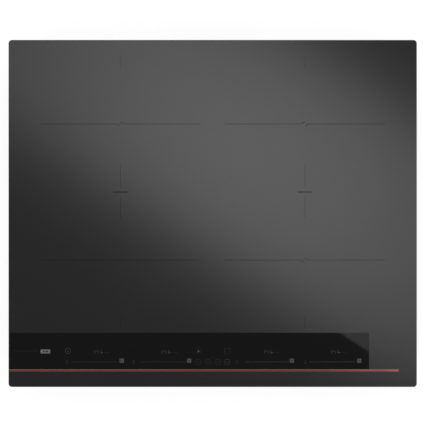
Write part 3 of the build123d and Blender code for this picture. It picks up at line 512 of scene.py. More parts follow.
GLASS = GlassFinish(
    "Black glass-ceramic", "printed_glass", Pattern.FLECK, (0.0022, 0.0022, 0.0025), (0.0036, 0.0036, 0.0040),
    smooth=0.025, rough=0.04, scale=900.0, relief=0.0, marks=0.02)
SATIN = Finish(
    "Satin anthracite print", "printed_glass", Pattern.FLECK, (0.094, 0.094, 0.095), (0.110, 0.110, 0.111),
    smooth=0.23, rough=0.255, scale=2500.0, relief=0.000001, metallic=1.0, marks=0.015, marks_scale=6.0)
MARK = Finish(
    "Dark zone print", "printed_glass", Pattern.FLECK, (0.048, 0.048, 0.049), (0.058, 0.058, 0.059),
    smooth=0.25, rough=0.28, scale=2500.0, relief=0.000001, metallic=1.0, marks=0.02)
DEEP_MARK = Finish(
    "Black zone print", "printed_glass", Pattern.FLECK, (0.042, 0.042, 0.043), (0.052, 0.052, 0.053),
    smooth=0.28, rough=0.32, scale=2500.0, relief=0.000001, metallic=1.0, marks=0.02)
COPPER = Finish(
    "Brushed copper", "copper_trim", Pattern.BRUSHED, (0.74, 0.275, 0.215), (0.92, 0.35, 0.275),
    smooth=0.12, rough=0.18, scale=1400.0, relief=0.000012, metallic=1.0, marks=0.06, marks_scale=30.0,
    stretch=(0.02, 1.0, 1.0))
ZINC_SHEET = Finish(
    "Galvanised steel", "galvanised_steel", Pattern.SPANGLE, (0.40, 0.41, 0.42), (0.56, 0.57, 0.58),
    smooth=0.34, rough=0.46, scale=210.0, relief=0.000004, metallic=1.0, marks=0.1)
FOAM = Finish(
    "Black sealing foam", "seal_foam", Pattern.FOAM, grey(0.012), (0.045, 0.045, 0.046),
    smooth=0.75, rough=0.9, scale=2200.0, relief=0.0002, marks=0.05)
SILICONE = Finish(
    "Black silicone", "bonding_silicone", Pattern.MOULDED, grey(0.012), grey(0.03),
    smooth=0.4, rough=0.55, scale=600.0, relief=0.00005)
ZINC_SCREW = Finish(
    "Zinc-plated screws", "zinc_screws", Pattern.BRUSHED, (0.48, 0.48, 0.46), (0.72, 0.72, 0.69),
    smooth=0.22, rough=0.38, scale=2500.0, relief=0.00001, metallic=1.0, marks=0.1, marks_scale=300.0)
SPRING_STEEL = Finish(
    "Spring steel", "spring_steel", Pattern.BRUSHED, (0.40, 0.40, 0.41), (0.50, 0.50, 0.51),
    smooth=0.27, rough=0.36, scale=1600.0, relief=0.000004, metallic=1.0, marks=0.08, marks_scale=60.0,
    stretch=(1.0, 1.0, 0.03))
BLACK_PLASTIC = Finish(
    "Black moulded plastic", "black_plastic", Pattern.MOULDED, grey(0.018), (0.034, 0.034, 0.035),
    smooth=0.42, rough=0.58, scale=1500.0, relief=0.00004, marks=0.08)
WHITE_PLASTIC = Finish(
    "White moulded plastic", "white_plastic", Pattern.MOULDED, (0.62, 0.61, 0.57), (0.76, 0.75, 0.71),
    smooth=0.38, rough=0.52, scale=1500.0, relief=0.00003, marks=0.06)
FORMER_PLASTIC = Finish(
    "Glass-filled former", "former_plastic", Pattern.FLAKES, (0.07, 0.055, 0.045), (0.15, 0.12, 0.10),
    smooth=0.5, rough=0.65, scale=700.0, relief=0.00003)
LITZ = Finish(
    "Copper litz", "copper_litz", Pattern.STRANDS, (0.32, 0.12, 0.05), (0.78, 0.38, 0.20),
    smooth=0.28, rough=0.5, scale=260.0, relief=0.00025, metallic=1.0, marks=0.05)
FERRITE = Finish(
    "Sintered ferrite", "ferrite", Pattern.MOULDED, (0.035, 0.035, 0.04), (0.075, 0.075, 0.08),
    smooth=0.5, rough=0.7, scale=1800.0, relief=0.00005)
ALU_SHEET = Finish(
    "Rolled aluminium", "aluminium_sheet", Pattern.BRUSHED, (0.62, 0.63, 0.64), (0.80, 0.81, 0.82),
    smooth=0.24, rough=0.38, scale=900.0, relief=0.00001, metallic=1.0, marks=0.1, stretch=(1.0, 0.04, 1.0))
MICA = Finish(
    "Pressed mica", "mica", Pattern.FLAKES, (0.40, 0.34, 0.25), (0.66, 0.60, 0.49),
    smooth=0.35, rough=0.55, scale=160.0, relief=0.00003)
BOARD = Finish(
    "Solder-masked board", "circuit_board", Pattern.BOARD, (0.012, 0.085, 0.035), (0.03, 0.17, 0.075),
    smooth=0.25, rough=0.38, scale=120.0, relief=0.00004, coat=0.3)
ALU_SECTION = Finish(
    "Extruded aluminium", "aluminium_extrusion", Pattern.BRUSHED, (0.55, 0.56, 0.57), (0.74, 0.75, 0.76),
    smooth=0.28, rough=0.42, scale=1100.0, relief=0.00002, metallic=1.0, marks=0.1,
    stretch=(1.0, 0.03, 1.0))
EPOXY = Finish(
    "Black epoxy", "component_black", Pattern.MOULDED, grey(0.012), grey(0.025),
    smooth=0.3, rough=0.42, scale=1500.0, relief=0.00002)
RED_RESIN = Finish(
    "Red cast resin", "capacitor_red", Pattern.MOULDED, (0.30, 0.025, 0.015), (0.44, 0.05, 0.03),
    smooth=0.18, rough=0.3, scale=500.0, relief=0.00002, coat=0.2)
GREEN_VARNISH = Finish(
    "Green varnish", "choke_green", Pattern.STRANDS, (0.05, 0.15, 0.06), (0.13, 0.30, 0.14),
    smooth=0.2, rough=0.35, scale=300.0, relief=0.0002, coat=0.3)
ROTOR_PLASTIC = Finish(
    "Rotor plastic", "rotor_plastic", Pattern.MOULDED, (0.03, 0.03, 0.032), (0.055, 0.055, 0.058),
    smooth=0.38, rough=0.5, scale=1200.0, relief=0.00003, marks=0.1)
MOTOR_STEEL = Finish(
    "Laminated steel", "motor_steel", Pattern.BRUSHED, (0.22, 0.23, 0.24), (0.42, 0.43, 0.44),
    smooth=0.3, rough=0.45, scale=1500.0, relief=0.00003, metallic=1.0, stretch=(0.03, 0.03, 1.0))
PAD_FOAM = Finish(
    "Conductive foam", "pad_foam", Pattern.FOAM, grey(0.03), grey(0.09),
    smooth=0.7, rough=0.85, scale=2600.0, relief=0.0001)
WIRE = Finish(
    "Silicone wire", "wire_silicone", Pattern.STRANDS, (0.22, 0.02, 0.015), (0.36, 0.05, 0.035),
    smooth=0.35, rough=0.5, scale=500.0, relief=0.00005)
INK_FAINT = grey_ink("Faint grey ink", 0.010, 0.014)
INK_DIM = grey_ink("Dim grey ink", 0.015, 0.022)
INK_SOFT = grey_ink("Soft grey ink", 0.030, 0.040)
INK_MID = grey_ink("Mid grey ink", 0.062, 0.080)
INK_PALE = grey_ink("Pale grey ink", 0.12, 0.15)


class Wardrobe:
    """Puts finishes on the frame's own nodes and on new pieces."""

    SHARP_ANGLE = 35.0

    def __init__(self, frame: dict[str, Any]) -> None:
        """Keeps the frame's nodes and the shared pattern groups."""
        self.nodes: dict[str, bpy.types.Object] = frame["nodes"]
        self.groups = PatternGroups()

    def dress(self, finish: Finish, *prefixes: str) -> None:
        """Gives a finish to every node whose name starts with one of the prefixes.

        Args:
            finish: the finish.
            prefixes: how the nodes' names start.
        """
        material = finish.build(self.groups)
        for name, node in self.nodes.items():
            if name.startswith(prefixes):
                if not node.material_slots:
                    node.data.materials.append(material)
                for slot in node.material_slots:
                    slot.material = material
                log.info("dressed %s in %s", name, finish.name)

    def make(self, name: str, bm: Mesh, finish: Finish, body: str, smooth: bool = False) -> bpy.types.Object:
        """Turns a bmesh into a finished piece that rides on a body.

        Args:
            name: the piece's name.
            bm: its mesh, in the row frame; freed here.
            finish: what it is dressed in.
            body: the body that carries it.
            smooth: whether its faces are shaded smooth.

        Returns:
            The new object.
        """
        bmesh.ops.recalc_face_normals(bm, faces=bm.faces)
        mesh = bpy.data.meshes.new(name)
        bm.to_mesh(mesh)
        bm.free()
        if smooth:
            mesh.shade_smooth()
            mesh.set_sharp_from_angle(angle=math.radians(self.SHARP_ANGLE))
        mesh.materials.append(finish.build(self.groups))
        piece = bpy.data.objects.new(name, mesh)
        bpy.context.scene.collection.objects.link(piece)
        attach(piece, body)
        log.info("made %s: %d faces", name, len(mesh.polygons))
        return piece


# ---- printed layers


class Ink:
    """Flat shapes of one ink, gathered in a mesh and given a thickness at the end."""

    CORNER_SEGMENTS = 5
    DOT_SEGMENTS = 12

    def __init__(self, level: float, thickness: float) -> None:
        """Starts an empty layer.

        Args:
            level: height of the layer's underside.
            thickness: height of the ink above that.
        """
        self.bm = bmesh.new()
        self.level = level
        self.thickness = thickness

    def place(self, x: float, y: float, turn: float = 0.0) -> Matrix:
        """Returns the transform to a spot on the layer, with a turn in degrees."""
        return Matrix.Translation((x, y, self.level)) @ Matrix.Rotation(math.radians(turn), 4, "Z")

    def bar(self, x0: float, x1: float, y0: float, y1: float, corner: float = 0.0) -> None:
        """Adds a rectangle between two corners, with rounded corners if asked.

        Args:
            x0: left edge.
            x1: right edge.
            y0: front edge.
            y1: rear edge.
            corner: radius of its corners.
        """
        scale = Matrix.Diagonal(((x1 - x0) / 2, (y1 - y0) / 2, 1.0, 1.0))
        made = bmesh.ops.create_grid(self.bm, x_segments=1, y_segments=1, size=1.0,
                                     matrix=self.place((x0 + x1) / 2, (y0 + y1) / 2) @ scale)
        if corner:
            bmesh.ops.bevel(self.bm, geom=made["verts"], offset=corner, segments=self.CORNER_SEGMENTS,
                            profile=0.5, affect="VERTICES", material=-1)

    def bars(self, x: float, y: float, shapes: Iterable[Bar]) -> None:
        """Adds rectangles, each from left, right, front and rear edges in millimetres off a spot."""
        for left, right, front, rear in shapes:
            self.bar(x + left * MM, x + right * MM, y + front * MM, y + rear * MM)

    def dots(self, x: float, y: float, shapes: Iterable[Dot]) -> None:
        """Adds small discs, each from a place off a spot and a radius, in millimetres."""
        for across, up, radius in shapes:
            self.disc(x + across * MM, y + up * MM, radius * MM, self.DOT_SEGMENTS)

    def stroke(self, start: Point, end: Point, width: float) -> None:
        """Adds a straight stroke of even width between two points.

        Args:
            start: the middle of one end.
            end: the middle of the other.
            width: the stroke's width.
        """
        run = Vector(end) - Vector(start)
        middle = (Vector(start) + Vector(end)) / 2
        scale = Matrix.Diagonal((run.length / 2, width / 2, 1.0, 1.0))
        turn = math.degrees(math.atan2(run.y, run.x))
        bmesh.ops.create_grid(self.bm, x_segments=1, y_segments=1, size=1.0,
                              matrix=self.place(middle.x, middle.y, turn) @ scale)

    def disc(self, x: float, y: float, radius: float, segments: int = 24, turn: float = 0.0) -> None:
        """Adds a filled circle, or a polygon where few segments are asked for."""
        bmesh.ops.create_circle(self.bm, cap_ends=True, segments=segments, radius=radius,
                                matrix=self.place(x, y, turn))

    def ring(self, x: float, y: float, radius: float, width: float, segments: int = 32) -> None:
        """Adds a circular line of even width.

        Args:
            x: its middle, across.
            y: its middle, to the rear.
            radius: outer radius.
            width: width of the line.
            segments: straight pieces in the circle.
        """
        loops: list[Edge] = []
        place = self.place(x, y)
        for size in (radius, radius - width):
            made = bmesh.ops.create_circle(self.bm, segments=segments, radius=size, matrix=place)
            loops += {edge for vert in made["verts"] for edge in vert.link_edges}
        bmesh.ops.bridge_loops(self.bm, edges=loops)

    def solid(self) -> Mesh:
        """Gives the shapes their thickness and returns the closed mesh.

        Returns:
            The closed mesh.
        """
        made = bmesh.ops.extrude_face_region(self.bm, geom=list(self.bm.faces))
        top = [part for part in made["geom"] if isinstance(part, Vert)]
        bmesh.ops.translate(self.bm, verts=top, vec=(0.0, 0.0, self.thickness))
        return self.bm


@dataclass
class GlassTop:
    """The printed glass: satin field, glossy control window and copper strip."""

    ink: float = 0.03 * MM
    edge: float = 0.9 * MM
    corner: float = 4.1 * MM
    strip_gap: float = 0.05 * MM
    window_depth: float = 53.8 * MM
    window_right: float = 70.2 * MM
    zone_x: float = 135.5 * MM
    zone_rear: float = 231.5 * MM
    zone_front: float = -168.5 * MM
    zone_half: float = 117.5 * MM
    line: float = 1.05 * MM
    cross: float = 4.0 * MM
    stroke_weight: float = 1.5
    tick_line: float = 0.7 * MM
    tick_end: float = 18.5 * MM
    tick_long: float = 31.0 * MM
    tick_short: float = 17.9 * MM
    tick_rear: float = 39.5 * MM
    tick_front: float = 8.6 * MM
    dash_half: float = 10.8 * MM
    dash_rise: float = 0.9 * MM
    snap: float = 1e-7

    BREAK_STROKES = (((3.9, -0.2), (0.9, -3.4)), ((-0.1, 3.0), (-3.9, 0.6)))

    def build(self, wardrobe: Wardrobe) -> None:
        """Makes the printed field and its zone marks, and dresses the glass and strip.

        Args:
            wardrobe: what holds the frame's nodes and makes the pieces.
        """
        low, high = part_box("glass_plate")
        strip_low, strip_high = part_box("trim_strip")
        wardrobe.dress(GLASS, "glass_plate")
        wardrobe.dress(COPPER, "trim_strip")
        field = Ink(high.z, self.ink)
        field.bar(low.x + self.edge, high.x - self.edge, low.y + self.edge, high.y - self.edge, self.corner)
        self.cut(field.bm, high, strip_low, strip_high)
        wardrobe.make("satin_print", field.solid(), SATIN, "casing")
        lines = Ink(high.z + self.ink, self.ink / 3)
        dashes = Ink(high.z + self.ink, self.ink / 3)
        for side in SIDES:
            self.zone(lines, dashes, side)
        wardrobe.make("zone_lines", lines.solid(), MARK, "casing")
        wardrobe.make("zone_dashes", dashes.solid(), DEEP_MARK, "casing")

    def cut(self, bm: Mesh, high: Vector, strip_low: Vector, strip_high: Vector) -> None:
        """Opens the control window and the strip's bed in the printed field.

        Args:
            bm: the flat field.
            high: highest corner of the glass.
            strip_low: lowest corner of the strip.
            strip_high: highest corner of the strip.
        """
        window_x = high.x - self.window_right
        bed_x = strip_high.x + self.strip_gap
        bed_front = strip_low.y - self.strip_gap
        bed_rear = strip_high.y + self.strip_gap
        window_rear = bed_rear + self.window_depth
        cuts = [((window_x, 0, 0), (1, 0, 0)), ((bed_x, 0, 0), (1, 0, 0)), ((0, bed_front, 0), (0, 1, 0)),
                ((0, bed_rear, 0), (0, 1, 0)), ((0, window_rear, 0), (0, 1, 0))]
        for point, normal in cuts:
            geom = list(bm.verts) + list(bm.edges) + list(bm.faces)
            bmesh.ops.bisect_plane(bm, geom=geom, dist=self.snap, plane_co=point, plane_no=normal)
        gone = []
        for face in bm.faces:
            spot = face.calc_center_median()
            in_window = spot.x < window_x and bed_rear < spot.y < window_rear
            in_bed = spot.x < bed_x and bed_front < spot.y < bed_rear
            if in_window or in_bed:
                gone.append(face)
        bmesh.ops.delete(bm, geom=gone, context="FACES")

    def zone(self, lines: Ink, dashes: Ink, side: int) -> None:
        """Draws one column of two cooking zones.

        Args:
            lines: the layer of thin lines.
            dashes: the layer of the darker middle dash.
            side: -1 for the left column, 1 for the right. The slanted strokes at a line's break
                are mirrored from column to column and from the rear line to the front one.
        """
        x = side * self.zone_x
        half = self.line / 2
        depth = (self.zone_rear - self.zone_front) / 2
        middle = (self.zone_rear + self.zone_front) / 2
        for y, turn in ((middle + depth / 2, side), (middle - depth / 2, -side)):
            lines.bar(x - self.zone_half, x - self.cross, y - half, y + half)
            lines.bar(x + self.cross, x + self.zone_half, y - half, y + half)
            for (x0, y0), (x1, y1) in self.BREAK_STROKES:
                start = (x + turn * x0 * MM, y + y0 * MM)
                end = (x + turn * x1 * MM, y + y1 * MM)
                lines.stroke(start, end, self.line * self.stroke_weight)
        ticks = (
            (self.zone_rear, self.tick_end),
            (middle + self.tick_rear, self.tick_long),
            (middle - self.tick_front, self.tick_long),
            (self.zone_front + self.tick_short, self.tick_short),
        )
        for rear, length in ticks:
            lines.bar(x - self.tick_line / 2, x + self.tick_line / 2, rear - length, rear)
        dashes.bar(x - self.dash_half, x + self.dash_half, middle - self.dash_rise, middle + self.dash_rise)


@dataclass
class ControlPanel:
    """The grey marks printed in the control window.

    Rows of places and the small shapes are in millimetres, a shape's from its own mark.
    """

    ink: float = 0.02 * MM
    slider_y: float = -218.0 * MM
    slider_length: float = 67.6 * MM
    slider_line: float = 1.35 * MM
    slider_gap: float = 0.55 * MM
    badge: float = 6.2 * MM
    badge_rise: float = 1.8 * MM
    badge_corner: float = 0.8 * MM
    chevron_half: float = 0.6 * MM
    chevron_rise: float = 1.7 * MM
    chevron_line: float = 0.8 * MM
    display_y: float = -203.6 * MM
    key_radius: float = 4.4 * MM
    key_line: float = 0.6 * MM
    top_keys_rise: float = 1.3 * MM
    arrow_shift: float = 0.2 * MM
    arrow_radius: float = 2.2 * MM
    power_x: float = -212.7 * MM
    power_rise: float = 1.8 * MM
    power_radius: float = 4.3 * MM
    power_line: float = 0.8 * MM
    power_dot: float = 0.8 * MM
    power_dot_rise: float = 1.4 * MM
    lock_x: float = -245.8 * MM
    lock_rise: float = 0.9 * MM
    lock_half_length: float = 7.2 * MM
    lock_half_width: float = 2.9 * MM
    lock_corner: float = 0.9 * MM

    STARTS = (-207.0, -106.1, 47.1, 141.5)
    BADGES = (-133.5, -34.6, 116.3, 215.3)
    BREAKS = (0.16, 0.28, 0.46, 0.72)
    DISPLAYS = (-173.8, -74.6, 75.6, 174.2)
    SMALL_KEYS = (-214.2, -116.1, 35.8, 136.4)
    MENU_KEYS = (-21.1, -6.7, 7.5, 21.2)
    LEGEND = tuple(-291.5 + 4.0 * step for step in range(9))

    CHEVRONS = (-1.5, 0.9)
    SMALL_KEY = ((-1.8, 1.8, -2.3, -1.5), (-1.2, 1.2, 1.4, 2.2), (-0.4, 0.4, -1.5, 1.4))
    DISPLAY = ((0.0, 0.8, -2.4, 2.0), (5.4, 6.2, -2.4, 2.0), (0.8, 5.4, 1.2, 2.0), (9.4, 10.2, -2.6, 3.2))
    BRIGHT_DOT = ((11.6, -0.6, 0.8),)
    DARK_DOTS = ((15.4, -0.9, 0.75), (18.4, -0.9, 0.75), (21.2, -0.9, 0.75))
    KEY_DASH = ((-1.7, 1.7, -0.4, 0.4),)
    MENU_DOT = ((0.0, -7.2, 0.9),)
    SQUARE_LEFT = ((-4.4, -3.6, -4.4, 4.4),)
    SQUARE_REST = ((3.6, 4.4, -4.4, 4.4), (-3.6, 3.6, 3.6, 4.4), (-3.6, 3.6, -4.4, -3.6))
    LOCK_BLOCKS = ((-3.4, -1.0, -1.0, 1.0), (0.6, 3.6, -1.0, 1.0))
    LEGEND_TICK = ((0.0, 0.8, 0.4, 3.2),)

    def build(self, wardrobe: Wardrobe) -> None:
        """Makes the window's marks, one piece for each ink.

        Args:
            wardrobe: what holds the frame's nodes and makes the pieces.
        """
        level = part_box("glass_plate")[1].z
        faint, dim, soft, mid, pale = (Ink(level, self.ink) for _ in range(5))
        glyphs = Ink(level + self.ink, self.ink / 2)
        columns = zip(self.STARTS, self.BADGES, self.SMALL_KEYS, self.DISPLAYS)
        for start, badge, small, left in columns:
            self.slider(faint if start < 0 else dim, start * MM)
            self.chevron(mid, glyphs, badge * MM)
            dim.bars(small * MM, self.slider_y, self.SMALL_KEY)
            self.display(soft, mid, dim, left * MM)
        self.menu(faint, dim, soft, mid)
        self.power(soft, mid)
        self.lock(pale, glyphs)
        for place in self.LEGEND:
            dim.bars(place * MM, self.display_y, self.LEGEND_TICK)
        layers = (
            ("panel_faint_marks", faint, INK_FAINT),
            ("panel_dim_marks", dim, INK_DIM),
            ("panel_soft_marks", soft, INK_SOFT),
            ("panel_mid_marks", mid, INK_MID),
            ("panel_pale_marks", pale, INK_PALE),
            ("panel_glyphs", glyphs, INK_DIM),
        )
        for name, ink, finish in layers:
            wardrobe.make(name, ink.solid(), finish, "casing")

    def slider(self, ink: Ink, start: float) -> None:
        """Draws a slider: one line with short breaks.

        Args:
            ink: the layer that it goes on.
            start: its left end.
        """
        ends = [0.0, *self.BREAKS, 1.0]
        rise = self.slider_line / 2
        for first, last in zip(ends, ends[1:]):
            left = start + first * self.slider_length + self.slider_gap
            right = start + last * self.slider_length - self.slider_gap
            ink.bar(left, right, self.slider_y - rise, self.slider_y + rise)

    def chevron(self, ink: Ink, glyphs: Ink, x: float) -> None:
        """Draws a filled badge with a double chevron at a slider's end.

        Args:
            ink: the badge's layer.
            glyphs: the chevron's layer.
            x: the badge's middle.
        """
        half = self.badge / 2
        y = self.slider_y + self.badge_rise
        ink.bar(x - half, x + half, y - half, y + half, self.badge_corner)
        for shift in self.CHEVRONS:
            for rise in (self.chevron_rise, -self.chevron_rise):
                start = (x + shift * MM - self.chevron_half, y + rise)
                end = (x + shift * MM + self.chevron_half, y)
                glyphs.stroke(start, end, self.chevron_line)

    def display(self, ink: Ink, bright: Ink, dark: Ink, left: float) -> None:
        """Draws an unlit display's bracket, tick and dots, from its left end.

        Args:
            ink: the layer of bracket and tick.
            bright: the first dot's layer.
            dark: the other dots' layer.
            left: the display's left end.
        """
        ink.bars(left, self.display_y, self.DISPLAY)
        bright.dots(left, self.display_y, self.BRIGHT_DOT)
        dark.dots(left, self.display_y, self.DARK_DOTS)

    def menu(self, faint: Ink, dim: Ink, soft: Ink, mid: Ink) -> None:
        """Draws the middle group of keys: a row of rings, an arrow in a ring and a square.

        Args:
            faint: the faintest layer.
            dim: the next paler layer.
            soft: the layer of the last key.
            mid: the arrow's layer.
        """
        for x in self.MENU_KEYS:
            target = soft if x == self.MENU_KEYS[-1] else dim
            target.ring(x * MM, self.slider_y, self.key_radius, self.key_line)
            target.bars(x * MM, self.slider_y, self.KEY_DASH)
        first, last = self.MENU_KEYS[0] * MM, self.MENU_KEYS[-1] * MM
        top = self.display_y + self.top_keys_rise
        faint.ring(first, top, self.key_radius, self.key_line)
        mid.disc(first + self.arrow_shift, top, self.arrow_radius, segments=3, turn=30.0)
        dim.bars(last, top, self.SQUARE_LEFT)
        faint.bars(last, top, self.SQUARE_REST)
        dim.dots(0.0, self.display_y, self.MENU_DOT)

    def power(self, soft: Ink, mid: Ink) -> None:
        """Draws the power key: a ring round a small dot."""
        soft.ring(self.power_x, self.display_y + self.power_rise, self.power_radius, self.power_line)
        mid.disc(self.power_x, self.display_y + self.power_dot_rise, self.power_dot, segments=16)

    def lock(self, pale: Ink, glyphs: Ink) -> None:
        """Draws the pale rounded badge at the window's left, with two dark blocks in it.

        Args:
            pale: the badge's layer.
            glyphs: the blocks' layer.
        """
        x, y = self.lock_x, self.display_y + self.lock_rise
        length, width = self.lock_half_length, self.lock_half_width
        pale.bar(x - length, x + length, y - width, y + width, self.lock_corner)
        glyphs.bars(x, y, self.LOCK_BLOCKS)


# ---- screws


@dataclass(frozen=True)
class PanScrew:
    """A pan-head screw with a star recess, seated on a face.

    The recess and the dome are rings, as shares of the head's radius and height.
    """

    head_radius: float
    head_height: float
    shank_radius: float
    length: float
    pitch: float = 1.2 * MM
    root: float = 0.8
    tip: float = 0.25
    valley: float = 0.74

    SEGMENTS = 24
    POINTS = 6
    RECESS = ((0.34, 0.40), (0.38, 0.99))
    DOME = ((0.55, 1.0), (0.76, 0.93), (0.92, 0.72), (1.0, 0.38), (1.0, 0.0))

    def build(self, bm: Mesh, seat: Sequence[float], outward: Sequence[float]) -> None:
        """Adds one screw to a mesh.

        Args:
            bm: the mesh that gathers the screws.
            seat: the middle of the face that the head sits on.
            outward: the way the head points.
        """
        turn = Vector((0, 0, 1)).rotation_difference(Vector(outward)).to_matrix().to_4x4()
        place = Matrix.Translation(seat) @ turn
        radius, height = self.head_radius, self.head_height
        loops = [self.star(bm, place, wide * radius, high * height) for wide, high in self.RECESS]
        profile = [(wide * radius, high * height) for wide, high in self.DOME]
        profile.append((self.shank_radius, 0.0))
        depth = 0.0
        while depth + self.pitch < self.length - self.shank_radius:
            profile.append((self.shank_radius * self.root, -depth - self.pitch / 2))
            profile.append((self.shank_radius, -depth - self.pitch))
            depth += self.pitch
        profile.append((self.shank_radius * self.tip, -self.length))
        for wide, z in profile:
            loops.append(self.edges(self.circle(bm, place, wide, z)))
        for first, second in zip(loops, loops[1:]):
            bmesh.ops.bridge_loops(bm, edges=first + second)
        bmesh.ops.contextual_create(bm, geom=loops[0])
        bmesh.ops.contextual_create(bm, geom=loops[-1])

    def circle(self, bm: Mesh, place: Matrix, radius: float, z: float) -> list[Vert]:
        """Adds a circle round the screw's axis and returns its vertices."""
        level = place @ Matrix.Translation((0, 0, z))
        return bmesh.ops.create_circle(bm, segments=self.SEGMENTS, radius=radius, matrix=level)["verts"]

    def star(self, bm: Mesh, place: Matrix, radius: float, z: float) -> list[Edge]:
        """Adds the outline of a star and returns its edges.

        Args:
            bm: the mesh that gathers the screws.
            place: the screw's own transform.
            radius: radius of the star's points.
            z: its height on the screw's axis.

        Returns:
            The outline's edges.
        """
        verts = self.circle(bm, place, radius, z)
        centre = place @ Vector((0, 0, z))
        share = self.SEGMENTS // self.POINTS
        for index, vert in enumerate(verts):
            if index % share >= share // 2:
                vert.co = centre + (vert.co - centre) * self.valley
        return self.edges(verts)

    @staticmethod
    def edges(verts: Iterable[Vert]) -> list[Edge]:
        """Returns the edges among a loop's vertices."""
        return list({edge for vert in verts for edge in vert.link_edges})


CASING_SCREW = PanScrew(head_radius=3.2 * MM, head_height=1.8 * MM, shank_radius=1.75 * MM, length=7.0 * MM)
CLIP_SCREW = PanScrew(head_radius=2.9 * MM, head_height=1.6 * MM, shank_radius=1.6 * MM, length=5.0 * MM)


@dataclass
class Casing:
    """The sheet-metal casing, its seal, frame, clips and screws."""

    screw_drop: float = 5.0 * MM
    screw_inset: float = 60.0 * MM
    screw_mid: float = 95.0 * MM
    clip_y: float = 140.0 * MM
    clip_screw_half: float = 11.0 * MM
    clip_screw_z: float = 29.0 * MM
    clip_metal: float = 0.8 * MM

    def build(self, wardrobe: Wardrobe) -> None:
        """Dresses the casing's nodes and makes its visible screws.

        Args:
            wardrobe: what holds the frame's nodes and makes the pieces.
        """
        wardrobe.dress(ZINC_SHEET, "base_tray", "glass_frame")
        wardrobe.dress(FOAM, "worktop_seal")
        wardrobe.dress(SILICONE, "glass_adhesive")
        wardrobe.dress(SPRING_STEEL, "clip_feet", "clip_leaf", "plate_springs")
        wardrobe.dress(ZINC_SCREW, "board_screws", "plate_screws", "terminal_screws", "casing_screws",
                       "clip_screws")
        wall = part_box("base_tray")[1]
        seat_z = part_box("worktop_seal")[0].z - self.screw_drop
        bm = bmesh.new()
        long_xs = (-wall.x + self.screw_inset, -self.screw_mid, self.screw_mid, wall.x - self.screw_inset)
        for side in SIDES:
            for x in long_xs:
                CASING_SCREW.build(bm, (x, side * wall.y, seat_z), (0, side, 0))
            for y in (-wall.y + self.screw_inset, wall.y - self.screw_inset):
                CASING_SCREW.build(bm, (side * wall.x, y, seat_z), (side, 0, 0))
        piece = wardrobe.make("casing_screw_set", bm, ZINC_SCREW, "casing", smooth=True)
        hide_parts("casing_screws")
        bm = bmesh.new()
        for side in SIDES:
            for y in (-self.clip_y, self.clip_y):
                for shift in (-self.clip_screw_half, self.clip_screw_half):
                    seat = (side * (wall.x + self.clip_metal), y + shift, self.clip_screw_z)
                    CLIP_SCREW.build(bm, seat, (side, 0, 0))
        piece = wardrobe.make("clip_screw_set", bm, ZINC_SCREW, "casing", smooth=True)
        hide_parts("clip_screws")


@dataclass
class Interior:
    """Coils, electronics, fans and wiring inside the casing."""

    def build(self, wardrobe: Wardrobe) -> None:
        """Dresses every node inside the casing.

        Args:
            wardrobe: what holds the frame's nodes and makes the pieces.
        """
        wardrobe.dress(FORMER_PLASTIC, "coil_former")
        wardrobe.dress(LITZ, "coil_winding")
        wardrobe.dress(FERRITE, "ferrite_bars")
        wardrobe.dress(WHITE_PLASTIC, "temperature_sensors", "plate_pillars", "relays", "terminal_block",
                       "cable_clamp")
        wardrobe.dress(ALU_SHEET, "coil_plate")
        wardrobe.dress(MICA, "mica_sheet")
        wardrobe.dress(BOARD, "power_board", "filter_board", "touch_board")
        wardrobe.dress(BLACK_PLASTIC, "board_carrier", "filter_carrier", "touch_holder", "fan_housing",
                       "fan_cover", "terminal_box", "terminal_cover")
        wardrobe.dress(ALU_SECTION, "heat_sink")
        wardrobe.dress(EPOXY, "power_transistors", "display_modules")
        wardrobe.dress(RED_RESIN, "film_capacitors")
        wardrobe.dress(GREEN_VARNISH, "chokes")
        wardrobe.dress(ROTOR_PLASTIC, "fan_rotor")
        wardrobe.dress(MOTOR_STEEL, "fan_motors")
        wardrobe.dress(PAD_FOAM, "touch_pads")
        wardrobe.dress(WIRE, "wiring_loom")


# ---- studio


